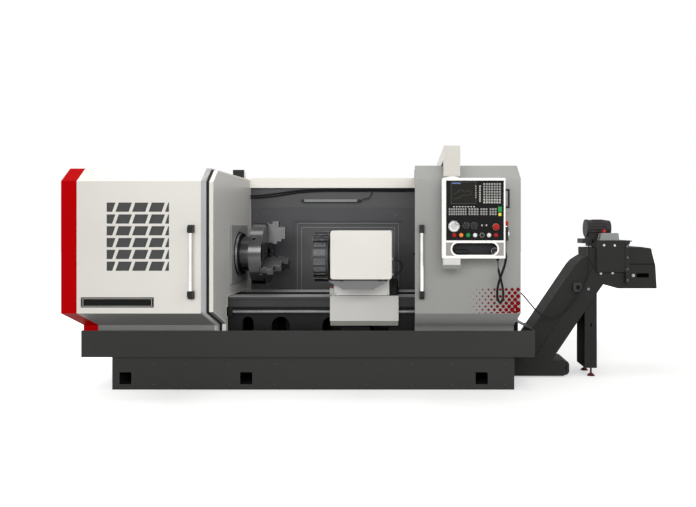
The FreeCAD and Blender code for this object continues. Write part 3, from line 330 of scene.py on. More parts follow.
# Each finish by its maker: material name, colour, and the settings that the maker takes after them
FINISHES = {
    painted: {
        "white_paint": ("white_powder_coated_steel", "white"),
        "silver_paint": ("silver_powder_coated_steel", "silver", 0.34),
        "red_paint": ("red_powder_coated_steel", "red", 0.45, 0.0, 0.02),
        "dark_grey_paint": ("grey_textured_powder_coat", "dark", 0.55, 0.15, 0.2, 10 * MM),
        "beige_paint": ("beige_powder_coated_steel", "beige", 0.4),
        "wall_grey_paint": ("grey_inner_wall_paint", "wall", 0.45, 0.1, 0.25),
        "apron_paint": ("apron_powder_coat", "apron", 0.4),
        "edge_paint": ("door_edge_paint", "#aaaaaa", 0.4),
        "wall_light": ("lighter_inner_wall_paint", "#4c4c4d", 0.42, 0.1, 0.25),
        # Paler copy of the white for the roof facets: painted light from above
        "roof_painted_light": ("cream_roof_paint_with_painted_light", "#f2ece0", 0.36),
        "printed_red": ("red_printing_ink", "dots", 0.4, 0.0, 0.05),
        "plate_metal": ("black_anodised_nameplate", "#171716", 0.5, 0.5, 0.06),
        # Bright white paint, also laid on the post's left side as a painted highlight
        "pendant_white": ("bright_white_paint_and_painted_highlight", "#f7f5f1", 0.35),
        "pendant_field": ("mottled_grey_foil", "#918d87", 0.5, 0.0),
        "ground_way": ("oiled_ground_way", "#a6a6a6", 0.4, 0.2),
        "side_wall": ("grey_side_wall_paint", "#c3c2be"),
        "plate_grey": ("grey_spindle_plate_paint", "#8c8c8b"),
        "slide_grey": ("grey_slide_paint", "#6a6a6b", 0.42),
        # The hub cover's white, greyed as painted shade under the pendant box
        "hub_white_in_painted_shade": ("white_hub_paint_in_painted_shade", "#c9c8c4", 0.4),
        "turret_grey": ("dark_turret_enamel", "#333435", 0.4, 0.35, 0.3),
        "block_grey": ("oiled_tool_block", "#565759", 0.4, 0.35, 0.3),
        # Darker copy of the beam's beige for the post: painted shade
        "post_beige_painted_shade": ("beige_post_paint_darkened_as_shade", "#c3c0b8", 0.4),
        "conveyor_paint": ("black_grey_conveyor_paint", "#2b2b2a", 0.6, 0.15, 0.08),
        "wheel_grey": ("satin_handwheel", "#bcbdbf", 0.35, 0.0),
        "lamp_body": ("grey_lamp_body", "#77787a", 0.4),
        # Grey for lower folds and lips: painted shade
        "lip_painted_shade": ("lip_painted_shade_grey", "#777771", 0.42),
        # Grey for downward facets and the left door's low front: painted shade
        "facet_painted_shade": ("grey_painted_shade_on_facets", "#7a7b79", 0.45, 0.1),
        "motor_paint": ("brown_grey_motor_paint", "#2a2627", 0.5, 0.1, 0.2),
        "box_grey": ("grey_switch_box_paint", "#7e817f", 0.45),
    },
    moulded: {
        "black_rubber": ("nitrile_rubber", "#0d0d0d", 0.6),
        "foot_rubber": ("red_foot_rubber", "#4d1214", 0.6),
        "black_plastic": ("black_abs", "#161616", 0.45),
        "red_plastic": ("red_button_plastic", "#a80a0e", 0.25),
        "orange_plastic": ("orange_button_plastic", "#e8862a", 0.25),
        "green_plastic": ("green_button_plastic", "#1d8f3d", 0.25),
        "white_plastic": ("white_button_plastic", "#e4e4e0", 0.25),
        "key_grey": ("grey_key_plastic", "#969692", 0.5),
        "key_pale": ("pale_key_plastic", "#b4b3ae", 0.45),
        "key_yellow": ("yellow_key_plastic", "#ddd23a", 0.4),
        "label_white": ("white_label_print", "#d6d5cf", 0.5),
        "panel_black": ("black_panel_foil", "#1b1b1b", 0.6, 0.05),
        # Near black for the take-up slot, as painted shade, and for the head's seam
        "slot_shade_and_seam_black": ("black_slot_shade_and_seam", "#040404", 0.8, 0.0),
        "bezel_grey": ("grey_bezel_plastic", "#4b4b49", 0.5),
        # Dark inside the tray and the tin: painted shade
        "tray_painted_shade": ("painted_shade_in_tray", "#232425", 0.6),
        "peach_ring": ("peach_ring_plastic", "#dd9a6c", 0.3),
    },
    machined: {
        "brushed_steel": ("ground_tool_steel", "#8a8b8b", 0.36, (1, 8, 8)),
        "chuck_steel": ("blackened_chuck_steel", "#2c2d2e", 0.34, (8, 1, 1)),
        "satin_chrome": ("satin_chrome_bar", "#d9d8d5", 0.22, (8, 8, 1)),
        "jaw_steel": ("ground_jaw_steel", "#5a5a5a", 0.34, (1, 6, 1)),
        "screw_steel": ("rolled_screw_steel", "#6b6c6c", 0.5, (6, 1, 1)),
    },
    cast_iron: {
        # The dark casting colour is partly painted shade; the band is the same paint at its lit
        # level
        "bed_iron": ("sprayed_cast_iron_and_painted_shade", "iron"),
        "bed_front_lit_band": ("bed_paint_at_lit_level", "#3b3c3b"),
    },
    wire_mesh: {"wire_mesh": ("painted_wire_mesh", "#2b2c2c")},
    glowing: {
        "display_blue": ("display_title_field", "#51658c", 0.5),
        "display_trace": ("display_trace", "#5d5f58", 0.3),
        "screen_glass": ("lcd_glass", "#1d1c18", 0.15),
        "lamp_glass": ("frosted_lamp_tube", "#8f9192", 0.1),
    },
}
finishes = {}


def make_finishes():
    """One material for each finish of the machine, the painted light and painted shade among them.
    """
    for maker, looks in FINISHES.items():
        for look, (name, colour, *settings) in looks.items():
            tint = linear(colour) if colour.startswith("#") else getattr(colours(), colour)
            finishes[look] = maker(name, tint, *settings)
    low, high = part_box("chuck_body")
    finishes["turned_steel"] = turned_steel("turned_chuck_steel", linear("#4b4b4c"),
                                            (Vector(low) + Vector(high)) / 2)


# Modelling helpers

def deselect():
    """Nothing is selected or active, so the next operator acts on its own piece."""
    for item in list(bpy.context.selected_objects):
        item.select_set(False)
    bpy.context.view_layer.objects.active = None


def only(piece):
    deselect()
    piece.select_set(True)
    bpy.context.view_layer.objects.active = piece


def named(name):
    piece = bpy.context.object
    piece.name = name
    piece.data.name = name
    return piece


def placed(name, data):
    """New object with the given mesh or curve, in the scene."""
    piece = bpy.data.objects.new(name, data)
    bpy.context.scene.collection.objects.link(piece)
    return piece


@contextlib.contextmanager
def editing(piece):
    """Edit mode on one piece, with all of it selected."""
    only(piece)
    bpy.ops.object.mode_set(mode="EDIT")
    bpy.ops.mesh.select_all(action="SELECT")
    yield
    bpy.ops.object.mode_set(mode="OBJECT")


def carry(piece, body, slot, finish=None):
    """Gives a piece its finish, which is its slot's own one by default, and its body."""
    piece.data.materials.clear()
    piece.data.materials.append(finishes[finish or slot])
    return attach(piece, body)


# Faces that meet at more than this turn make a corner
CORNER = math.radians(32)


def smoothed(piece):
    """Smooth shading that keeps sharp corners and leaves wide faces flat beside rounded edges."""
    only(piece)
    bpy.ops.object.shade_smooth_by_angle(angle=CORNER)
    weighting = piece.modifiers.new("Face weights", "WEIGHTED_NORMAL")
    weighting.keep_sharp = True
    bpy.ops.object.modifier_apply(modifier=weighting.name)
    return piece


def rounded(piece, edge):
    """Outer corners rounded by a radius in millimetres."""
    only(piece)
    rounding = piece.modifiers.new("Rounded edges", "BEVEL")
    rounding.width = edge * MM
    rounding.segments = 2
    rounding.limit_method = "ANGLE"
    rounding.angle_limit = CORNER
    bpy.ops.object.modifier_apply(modifier=rounding.name)
    return piece


WAYS = {"front": Vector((0, -1, 0)), "back": Vector((0, 1, 0)), "left": Vector((-1, 0, 0)),
        "right": Vector((1, 0, 0)), "up": Vector((0, 0, 1)), "down": Vector((0, 0, -1))}


def settle(piece):
    """Moves the piece's place and turn into its mesh."""
    only(piece)
    bpy.ops.object.transform_apply(location=True, rotation=True, scale=True)
    return piece


def pick_faces(piece, test):
    """Opens the piece for editing with the faces selected that pass a test on place and normal."""
    only(piece)
    bpy.ops.object.mode_set(mode="EDIT")
    bpy.ops.mesh.select_mode(type="FACE")
    bpy.ops.mesh.select_all(action="DESELECT")
    bpy.ops.object.mode_set(mode="OBJECT")
    for face in piece.data.polygons:
        face.select = test(face.center, face.normal)
    bpy.ops.object.mode_set(mode="EDIT")


def shape_face(piece, way, steps):
    """Shapes the faces that look one way by insets: (margin, rise) pairs in millimetres."""
    pick_faces(piece, lambda place, normal: normal.dot(WAYS[way]) > 0.99)
    for margin, rise in steps:
        bpy.ops.mesh.inset(thickness=margin * MM, depth=rise * MM)
    bpy.ops.object.mode_set(mode="OBJECT")
    return piece


def cuboid(name, low, high):
    """Plain block between two corners in millimetres."""
    low, high = Vector(low), Vector(high)
    deselect()
    bpy.ops.mesh.primitive_cube_add(size=1, location=(low + high) / 2 * MM)
    piece = named(name)
    piece.scale = (high - low) * MM
    return settle(piece)


def slab(name, low, high, edge=0.5, way="front", steps=()):
    """Plate or bar between two corners in millimetres, with rounded edges and a shaped face."""
    piece = shape_face(cuboid(name, low, high), way, steps)
    if edge:
        rounded(piece, edge)
    return smoothed(piece)


def turned_piece(name, place, radius, height, way="front", steps=(), sides=24, edge=0.3):
    """Round piece that stands on a place and looks one way, its face shaped by insets."""
    deselect()
    middle = (Vector(place) + WAYS[way] * height / 2) * MM
    turn = WAYS[way].to_track_quat("Z", "Y").to_euler()
    bpy.ops.mesh.primitive_cylinder_add(vertices=sides, radius=radius * MM, depth=height * MM,
                                        location=middle, rotation=turn)
    piece = settle(named(name))
    shape_face(piece, way, steps)
    if edge:
        rounded(piece, edge)
    return smoothed(piece)


def bars(face, thick, edge, rectangles):
    """Thin bars whose backs lie on a face, one for each (left, foot, right, top)."""
    return [slab("bar", (left, face - thick, foot), (right, face, top), edge)
            for left, foot, right, top in rectangles]


def socket_screw(radius, way="front"):
    """Cap screw with a hexagon socket, its head on the origin."""
    steps = ((radius * 0.15, 0), (radius * 0.3, 0), (0, -radius * 0.5))
    return turned_piece("screw", (0, 0, 0), radius, radius * 0.7, way, steps, 12, radius * 0.08)


def bolt_head(radius, way="front"):
    """Hexagon bolt head on its washer."""
    washer = turned_piece("washer", (0, 0, 0), radius * 1.25, radius * 0.2, way, (), 20, 0.2)
    head = turned_piece("head", WAYS[way] * radius * 0.2, radius, radius * 0.65, way,
                        ((radius * 0.1, radius * 0.08),), 6, 0.3)
    return merged("bolt", [washer, head])


def merged(name, pieces):
    """Several pieces made one."""
    deselect()
    for piece in pieces:
        piece.select_set(True)
    bpy.context.view_layer.objects.active = pieces[0]
    if len(pieces) > 1:
        bpy.ops.object.join()
    return named(name)


def spread(name, master, places):
    """Copies of a piece, each with its own mesh, at places in millimetres or by matrices."""
    copies = []
    for place in places:
        copy = placed(name, master.data.copy())
        if isinstance(place, Matrix):
            copy.matrix_world = place
        else:
            copy.location = Vector(place) * MM
        copies.append(settle(copy))
    bpy.data.objects.remove(master)
    return merged(name, copies)


def second_finish(piece, finish, test):
    """Gives the faces that pass a test on place and normal another finish."""
    piece.data.materials.append(finishes[finish])
    for face in piece.data.polygons:
        if test(face.center / MM, face.normal):
            face.material_index = len(piece.data.materials) - 1
    return piece


def about(point, way, degrees):
    """Matrix that turns about an axis through a point in millimetres."""
    point = Vector(point) * MM
    return (Matrix.Translation(point) @ Matrix.Rotation(math.radians(degrees), 4, WAYS[way])
            @ Matrix.Translation(-point))


def corners(low, high, inset):
    """Four corner places of a rectangle, moved in from its edges."""
    return [(a, b) for a in (low[0] + inset, high[0] - inset)
            for b in (low[1] + inset, high[1] - inset)]


# Solids whose finish differs from that of their slot
OWN_FINISH = {
    "z_ball_screw": "screw_steel", "chuck_body": "turned_steel", "quill": "turned_steel",
    "vent_mesh": "wire_mesh", "conveyor_motor": "motor_paint",
    "conveyor_switch_box": "box_grey", "pendant_box": "pendant_white", "apron": "apron_paint",
    "key_switch": "black_plastic", "spindle_wall_plate": "plate_grey",
    "spindle": "turned_steel", "turret_disc": "turret_grey", "chuck_jaw_1": "jaw_steel",
    "chuck_jaw_2": "jaw_steel", "chuck_jaw_3": "jaw_steel", "mpg_handwheel": "wheel_grey",
    "conveyor_casing": "conveyor_paint", "conveyor_guard": "conveyor_paint",
    "conveyor_leg": "conveyor_paint", "pendant_arm": "post_beige_painted_shade", "panel_plate": "panel_black",
}


def welded_copy(node, name):
    """Copy of a solid whose facets share their corner points."""
    piece = placed(name, frame["nodes"][node].data.copy())
    with editing(piece):
        bpy.ops.mesh.remove_doubles(threshold=0.01 * MM)
    return piece


def finished_copy(node, edge=0.0):
    """Merged copy of a solid with smooth round faces and rounded edges, in place of the solid."""
    piece = welded_copy(node, node + "_finished")
    with editing(piece):
        bpy.ops.mesh.dissolve_limited(angle_limit=math.radians(0.5))
    if edge:
        rounded(piece, edge)
    smoothed(piece)
    slot = next(part["material_slot"] for part in frame["record"]["subparts"]
                if part["node"] == node)
    carry(piece, frame["nodes"][node]["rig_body"], slot, OWN_FINISH.get(node, slot))
    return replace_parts(piece, node)


# Cables

def route_curve(name, points):
    """Smooth line on its control points."""
    data = bpy.data.curves.new(name, "CURVE")
    data.dimensions = "3D"
    spline = data.splines.new("NURBS")
    spline.points.add(len(points) - 1)
    for point, place in zip(spline.points, points):
        point.co = (*place, 1.0)
    spline.order_u = 3
    spline.use_endpoint_u = True
    return placed(name, data)


def strand_along(name, points, radius, body, node, sides=6, steps=8):
    """Round rubber strand on its control points, in place of a solid where one is named."""
    piece = route_curve(name, points)
    piece.data.bevel_depth = radius
    piece.data.bevel_resolution = sides
    piece.data.resolution_u = steps
    piece.data.use_fill_caps = True
    carry(piece, body, "black_rubber")
    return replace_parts(piece, node) if node else piece


def run_length(points):
    """Length of the line through the points."""
    return sum((after - before).length for before, after in zip(points, points[1:]))


def cable(name, points, radius, body, node=None, length=None, **facts):
    """Round cable along its route in millimetres."""
    metres = [Vector(point) * MM for point in points]
    if length is None:
        length = round(run_length(read_line(metres)), 3)
    piece = strand_along(name, metres, radius * MM, body, node)
    return piece


beam_route = [(-750, 324, 1702), (-690, 324, 1702), (-600, 324, 1710), (-480, 324, 1726),
              (-350, 324, 1746), (-210, 324, 1759), (-60, 324, 1763), (100, 324, 1766),
              (280, 324, 1763), (460, 324, 1766), (650, 324, 1763), (850, 324, 1766),
              (1050, 324, 1763), (1240, 324, 1766), (1410, 324, 1764), (1550, 324, 1766),
              (1630, 324, 1765), (1694, 324, 1765)]
hose_route = [(681, -680, 1124), (720, -680, 1124), (752, -680, 1101), (764, -680, 1063),
              (752, -680, 1025), (720, -680, 1002), (681, -680, 1002)]
supply_route = [(1700, -300, 846), (1760, -300, 846), (1830, -282, 795), (1900, -245, 712),
                (1970, -200, 634), (2045, -155, 577), (2125, -120, 556), (2205, -102, 576),
                (2290, -100, 650), (2370, -100, 750), (2436, -100, 856), (2466, -100, 980),
                (2474, -98, 1090), (2477, -84, 1180), (2480, -62, 1245), (2500, -51, 1281),
                (2539, -50, 1300), (2575, -50, 1300)]
curly_route = [(1512, -990, 1150), (1512, -990, 1100), (1520, -998, 1040), (1538, -1002, 970),
               (1554, -1000, 890), (1552, -994, 830), (1532, -988, 798), (1511, -982, 826),
               (1508, -976, 890), (1524, -972, 970), (1556, -970, 1050), (1579, -971, 1130),
               (1578, -972, 1210), (1578, -972, 1285)]
lamp_route = [(336, 300, 1655), (360, 300, 1660), (385, 302, 1676), (410, 306, 1672),
              (430, 312, 1690), (446, 318, 1715), (450, 322, 1746)]
# How far the beam's second cable runs below the first at each point
lower_drops = (22, 21, 22, 24, 20, 16) + (14,) * 12
lower_route = [(x, y, z - drop) for (x, y, z), drop in zip(beam_route, lower_drops)]


def read_line(points):
    """Points close together along the smooth line of a route."""
    guide = route_curve("guide", points)
    guide.data.resolution_u = 24
    bpy.context.view_layer.update()
    shape = bpy.data.meshes.new_from_object(guide)
    line = [vertex.co.copy() for vertex in shape.vertices]
    bpy.data.objects.remove(guide)
    bpy.data.meshes.remove(shape)
    return line


def curled(line, radius, pitch, straight, steps=12):
    """Helix about a line, whose ends run straight and open into curls over a short ramp."""
    lengths = [0.0]
    for before, after in zip(line, line[1:]):
        lengths.append(lengths[-1] + (after - before).length)
    total = lengths[-1]
    ramp = 3 * pitch
    count = int((total - sum(straight)) / pitch * steps)
    side = Vector((0, 1, 0))
    result = [line[0]]
    index = 0
    start = straight[0]
    for step in range(count + 1):
        along = start + (total - sum(straight)) * step / count
        while index < len(lengths) - 2 and lengths[index + 1] < along:
            index += 1
        share = (along - lengths[index]) / (lengths[index + 1] - lengths[index])
        centre = line[index].lerp(line[index + 1], share)
        forward = (line[index + 1] - line[index]).normalized()
        side = (side - forward * side.dot(forward)).normalized()
        third = forward.cross(side)
        opening = min(1.0, (along - start) / ramp, (total - straight[1] - along) / ramp)
        angle = 2 * math.pi * step / steps
        swing = radius * max(opening, 0.0)
        result.append(centre + side * math.cos(angle) * swing + third * math.sin(angle) * swing)
    result.append(line[-1])
    return result


class LATHE_OT_cables(bpy.types.Operator):
    """Cables along the rear beam, lamp lead, coolant hose loop and the conveyor's cable"""
    bl_idname = "lathe.cables"
    bl_label = "Cables and hose"

    def execute(self, context):
        cable("beam_cable_smooth", beam_route, 7, "machine", "beam_cable", length=2.448,
              far_end="object", stiffness="stiff", lay="taut")
        cable("beam_cable_lower", lower_route, 6, "machine", far_end="object", stiffness="stiff",
              lay="taut")
        cable("lamp_lead", lamp_route, 4, "machine", far_end="object", stiffness="stiff",
              lay="loose")
        cable("coolant_hose_smooth", hose_route, 8, "cross_slide_unit", "coolant_hose",
              length=0.231, far_end="object", stiffness="stiff", lay="loose")
        cable("conveyor_cable_smooth", supply_route, 6, "machine", "conveyor_cable",
              length=1.53, far_end="object", stiffness="stiff", lay="hanging")
        return {"FINISHED"}


class LATHE_OT_curly_cord(bpy.types.Operator):
    """Coiled lead that hangs from the pendant and comes back up to the hand unit"""
    bl_idname = "lathe.curly_cord"
    bl_label = "Curly cord"

    def execute(self, context):
        strand = sizes().strand
        pitch, straight = 1.25 * strand, (0.07, 0.09)
        line = read_line([Vector(point) * MM for point in curly_route])
        points = curled(line, (sizes().curl - strand) / 2, pitch, straight)
        piece = strand_along("curly_cord_coiled", points, strand / 2, "pendant", "curly_cord",
                             2, 2)
        return {"FINISHED"}


def box_mm(node):
    """Lowest and highest corner of a solid in millimetres."""
    low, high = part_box(node)
    return low / MM, high / MM


# Depth where the doors' roofs end and the brackets that glide on the beam start
ROOF_END = 280


class LATHE_OT_door_trim(bpy.types.Operator):
    """Edge frame, bare nameplate and handle finishes of the sliding doors"""
    bl_idname = "lathe.door_trim"
    bl_label = "Door trim"

    def execute(self, context):
        low, high = box_mm("left_door_panel")
        self.edge_frame(high.x - 40)
        self.nameplate(low.x + 34, 748, low.x + 618, 829.6, low.y)
        for side in ("left", "right"):
            self.handle(side)
        return {"FINISHED"}

    def nameplate(self, left, foot, right, top, front):
        """Bare plate with a thin pale line inside its edge and a rivet in each corner."""
        plate = slab("nameplate", (left, front - 2, foot), (right, front, top), 0.6,
                     steps=((5, 0), (0.6, -0.7)))
        carry(plate, "left_door", "brushed_steel", "plate_metal")
        start, end, low, high = left + 16, right - 16, foot + 9, top - 9.6
        lines = bars(front - 1.4, 1, 0.3, (
            (start, low, end, low + 3), (start, high - 3, end, high),
            (start, low, start + 3, high), (end - 3, low, end, high)))
        carry(merged("nameplate_border", lines), "left_door", "white_plastic", "label_white")
        seats = [(x, front - 1.3, z) for x, z in corners((left, foot), (right, top), 8)]
        rivets = spread("nameplate_rivets", turned_piece("rivet", (0, 0, 0), 3.5, 1.2, edge=0.5),
                        seats)
        carry(rivets, "left_door", "brushed_steel")

    def edge_frame(self, start):
        """Folded frame along the closing edge of the left door, a little proud of the sheet."""
        piece = welded_copy("left_door_panel", "left_door_edge_frame")
        with editing(piece):
            bpy.ops.mesh.bisect(plane_co=(start * MM, 0, 0), plane_no=WAYS["right"],
                                use_fill=True, clear_inner=True)
            bpy.ops.mesh.select_all(action="SELECT")
            bpy.ops.mesh.bisect(plane_co=(0, ROOF_END * MM, 0), plane_no=WAYS["back"],
                                use_fill=True, clear_outer=True)
            bpy.ops.mesh.select_all(action="SELECT")
            bpy.ops.transform.shrink_fatten(value=0.8 * MM)
        carry(smoothed(piece), "left_door", "silver_paint", "edge_paint")

    def handle(self, side):
        """Bright pull bar between black moulded feet."""
        piece = finished_copy(side + "_door_handle", 5)
        low, high = box_mm(side + "_door_handle")
        foot = 64
        piece.data.materials.clear()
        piece.data.materials.append(finishes["satin_chrome"])
        second_finish(piece, "black_plastic", lambda place, normal: not
                      low.z + foot <= place.z <= high.z - foot)
        middle = (low.x + high.x) / 2
        collars = [turned_piece("collar", (middle, low.y + 20, z), 18.5, 5, "up")
                   for z in (low.z + 60, high.z - 65)]
        carry(merged(side + "_handle_collars", collars), side + "_door", "black_plastic")


class LATHE_OT_printed_dots(bpy.types.Operator):
    """Field of red dots that grow towards the right door's lower right corner"""
    bl_idname = "lathe.printed_dots"
    bl_label = "Printed dots"

    def execute(self, context):
        rows, columns, across, rise = 8, 18, 23.7, 27.1
        low, high = box_mm("right_door_panel")
        right, fold = high.x - 3, 702
        dot = turned_piece("dot", (0, 0, 0), 1, 0.3, sides=16, edge=0)
        places = []
        for row in range(rows):
            for column in range(row % 2, columns, 2):
                x = right - (columns - 0.2 - column) * across
                size = 18.6 * ((column + 1) / columns) ** 0.9 * (1.12 - 0.04 * row)
                place = Matrix.Translation(Vector((x, low.y, fold + row * rise)) * MM)
                places.append(place @ Matrix.Diagonal((size, 1, size, 1)))
        dots = spread("printed_dots", dot, places)
        for way in ("right", "down"):
            with editing(dots):
                bpy.ops.mesh.bisect(plane_co=Vector((right, 0, fold)) * MM, plane_no=WAYS[way],
                                    clear_outer=True)
        carry(dots, "right_door", "red_paint", "printed_red")
        return {"FINISHED"}


class LATHE_OT_spindle_trim(bpy.types.Operator):
    """Screws and rings of the spindle plate, chuck and jaws"""
    bl_idname = "lathe.spindle_trim"
    bl_label = "Spindle trim"

    def execute(self, context):
        low, high = box_mm("spindle_wall_plate")
        chuck_low, chuck_high = box_mm("chuck_body")
        axis = (chuck_low + chuck_high) / 2
        margin = 26
        places = [(high.x, y, z) for y, z in corners(low.yz, high.yz, margin)]
        places += [(high.x, y, axis.z) for y in (low.y + margin, high.y - margin)]
        places += [(high.x, axis.y, z) for z in (low.z + margin, high.z - margin)]
        carry(spread("wall_plate_screws", socket_screw(9, "right"), places), "machine",
              "brushed_steel")
        ring = turned_piece("bearing_ring", (high.x + 6, axis.y, axis.z), 193, 16, "right",
                            ((8, 0), (2, -3)), 96, 1)
        carry(ring, "machine", "brushed_steel")
        circle = 120
        angles = [math.radians(degrees) for degrees in (10, 50, 130, 170, 250, 290)]
        seats = [(chuck_high.x, axis.y + circle * math.cos(angle),
                  axis.z + circle * math.sin(angle)) for angle in angles]
        carry(spread("chuck_screws", socket_screw(10, "right"), seats), "spindle_and_chuck",
              "chuck_steel")
        for number in (1, 2, 3):
            self.jaw_screws(number, axis)
        return {"FINISHED"}

    def jaw_screws(self, number, axis):
        """Two cap screws on the low step of a jaw."""
        low, high = box_mm("chuck_jaw_1")
        screw = socket_screw(9, "right")
        seats = [about(axis, "right", 120 * (number - 1))
                 @ Matrix.Translation(Vector((high.x - 60, axis.y, axis.z + reach)) * MM)
                 for reach in (262, 284)]
        carry(spread("jaw_%d_screws" % number, screw, seats), "jaw_%d" % number, "chuck_steel")


class LATHE_OT_carriage_trim(bpy.types.Operator):
    """Wipers, covers and screws of the saddle, apron, turret and its guard"""
    bl_idname = "lathe.carriage_trim"
    bl_label = "Carriage trim"

    def execute(self, context):
        self.wipers()
        self.apron_covers()
        self.guard_box()
        self.turret_screws()
        return {"FINISHED"}

    def wipers(self):
        """Rubber lips that clean the ways at both ends of the saddle."""
        low, high = box_mm("saddle")
        bed_low, bed_high = box_mm("bed_casting")
        foot, top = bed_high.z + 0.4, bed_high.z + 26
        strips = [slab("wiper", (x, y, foot), (x + 7, y + 220, top), 1, "up", ((1.5, 3),))
                  for x in (low.x + 7, high.x) for y in (bed_low.y + 6, bed_high.y - 226)]
        carry(merged("way_wipers", strips), "carriage", "black_rubber")

    def apron_covers(self):
        """Lower fold of the apron in painted shade, and the saddle's white cover, sight and lever.
        """
        finished_copy("apron", 1.5)
        low, high = box_mm("apron")
        # The apron's lower fold painted darker as painted shade
        fold = slab("apron_fold", (low.x + 4, low.y - 1.5, low.z + 1),
                    (high.x - 4, low.y, low.z + 39), 0.6)
        carry(fold, "carriage", "silver_paint", "lip_painted_shade")
        saddle, end = box_mm("saddle")
        front, top = saddle.y, end.z
        left, right, foot = saddle.x + 40, end.x - 60, high.z + 4
        cover = slab("saddle_front_cover", (left, front - 2, foot), (right, front, top - 1), 0.8)
        carry(cover, "carriage", "silver_paint", "pendant_white")
        screws = [(x, front - 2, z) for x in (left + 14, right - 14)
                  for z in (foot + 12, top - 12)]
        carry(spread("saddle_cover_screws", socket_screw(5), screws), "carriage", "chuck_steel")
        sight = turned_piece("oil_sight", (saddle.x + 22, front, top - 82), 9, 5,
                             steps=((1.5, 0), (1, -1.2), (2, 1)))
        carry(sight, "carriage", "red_plastic")
        rod = turned_piece("rod", (end.x - 54, front + 12, top - 9), 4, 44, "right")
        grip = turned_piece("grip", (end.x - 12, front + 12, top - 9), 7, 14, "right",
                            ((1, 1), (1.5, 0.6)), edge=1.5)
        carry(merged("clamp_lever", [rod, grip]), "carriage", "black_plastic")

    def guard_box(self):
        """Dark brackets under the turret's guard box, and the ends of its coolant hose."""
        low, high = box_mm("turret_guard")
        guard = finished_copy("turret_guard", 1)
        second_finish(guard, "black_plastic", lambda place, normal: place.z < low.z + 12.9)
        fitting = turned_piece("fitting", (0, 0, 0), 12, 10, "right", ((2, 2), (1.5, 0)), 6, 0.5)
        seats = [hose_route[0], hose_route[-1]]
        carry(spread("hose_fittings", fitting, seats), "cross_slide_unit", "brushed_steel")

    def turret_screws(self):
        """Station blocks on the disc's free faces, and the ring of screws on its cap."""
        low, high = box_mm("turret_disc")
        centre = (low + high) / 2
        faces, holders = 16, (1, 6, 9, 14)
        flat = (high.z - low.z) / 2 * math.cos(math.pi / faces)
        seat = Matrix.Translation(Vector((low.x + 72, centre.y, centre.z + flat - 1)) * MM)
        seats = [about(centre, "right", (face + 0.5) * 360 / faces) @ seat
                 for face in range(faces) if face not in holders]
        block = slab("block", (-48, -26, 0), (48, 26, 9), 2, "up", ((5, 0), (1, -1.5)))
        screws = merged("screws", [
            turned_piece("screw", (x, 0, 7), 9, 3, "up", ((2.5, 0), (0, -2)), 12)
            for x in (-24, 24)])
        carry(spread("turret_station_blocks", block, seats), "turret", "brushed_steel",
              "block_grey")
        carry(spread("turret_station_screws", screws, seats), "turret", "chuck_steel")
        rim = Matrix.Translation(Vector((low.x, centre.y, centre.z + 86)) * MM)
        ring = [about(centre, "right", 45 * number) @ rim for number in range(8)]
        carry(spread("turret_cap_screws", socket_screw(7, "left"), ring), "turret",
              "brushed_steel")


class LATHE_OT_enclosure_trim(bpy.types.Operator):
    """Rear wall panels, lamp caps and visor, roof joints and base bolts"""
    bl_idname = "lathe.enclosure_trim"
    bl_label = "Enclosure trim"

    def execute(self, context):
        self.rear_wall()
        self.lamp()
        self.base_bolts()
        self.roof_joints()
        return {"FINISHED"}

    def rear_wall(self):
        """Paler panels of the rear wall, the raised lines round the inner one, and screws."""
        low, high = box_mm("rear_guard")
        front = low.y
        left, right, foot, top = -286, 706, 720, 1424
        upper = slab("upper_wall_panel", (-744, front - 1.5, 1584), (high.x - 8, front, 1776), 0.6)
        carry(upper, "machine", "wall_grey_paint", "wall_light")
        inner = slab("recessed_wall_panel", (left, front + 3, foot), (right, front + 8, top), 1.5,
                     steps=((9, 0), (1.5, -1.5)))
        carry(inner, "machine", "wall_grey_paint", "wall_light")
        lines = []
        for margin, face in ((-9, front), (32, front + 3)):
            start, end, rim = left + margin, right - margin, top - margin
            lines += bars(face, 1.2, 0.4, ((start, foot, start + 6, rim),
                                           (end - 6, foot, end, rim), (start, rim - 6, end, rim)))
        carry(merged("wall_frame_lines", lines), "machine", "wall_grey_paint", "lamp_body")
        places = [(x, front - 1.5, 1762) for x in range(-700, 1650, 230)]
        places += [(x, front, 1510) for x in range(-700, 1650, 460)]
        carry(spread("wall_screws", socket_screw(5), places), "machine", "chuck_steel")

    def lamp(self):
        """Sealed end caps, visor and cable gland of the long work lamp."""
        low, high = box_mm("work_lamp")
        back, top = low.y + 24, high.z + 1
        caps = [slab("cap", (x, low.y - 1, low.z - 1), (x + 30, back, top), 2)
                for x in (low.x - 1, high.x - 29)]
        visor = slab("lamp_visor", (low.x + 26, low.y - 1.5, low.z + 13),
                     (high.x - 26, back, top), 1)
        carry(visor, "machine", "brushed_steel", "lamp_body")
        gland = turned_piece("gland", (high.x - 1, low.y + 10, low.z + 12), 6, 14, "right",
                             ((1.2, 3),), 12)
        carry(merged("lamp_caps", caps + [gland]), "machine", "black_plastic")

    def base_bolts(self):
        """Levelling and cover bolts along the front and back of the plinth."""
        low, high = box_mm("base_plinth")
        front = [(x, low.y, z) for x in (-1544, -1361, -1176, -1084, -717, -330, 60, 450, 840,
                                         1190, 1640) for z in (215, 40)]
        carry(spread("plinth_bolts", bolt_head(9), front), "machine", "dark_grey_paint")
        rear = [(-x, high.y, z) for x, y, z in front]
        carry(spread("rear_plinth_bolts", bolt_head(9, "back"), rear), "machine",
              "dark_grey_paint")

    def roof_joints(self):
        """Joint strips across the roof of the headstock cover."""
        low, high = box_mm("headstock_cover")
        # Joint strips in the roof's paler colour, which is painted light
        strips = [slab("joint", (x, low.y + 150, high.z - 0.2), (x + 24, 296, high.z + 1.2), 0.5)
                  for x in (-1500, -1160)]
        carry(merged("roof_joints", strips), "machine", "white_paint", "roof_painted_light")


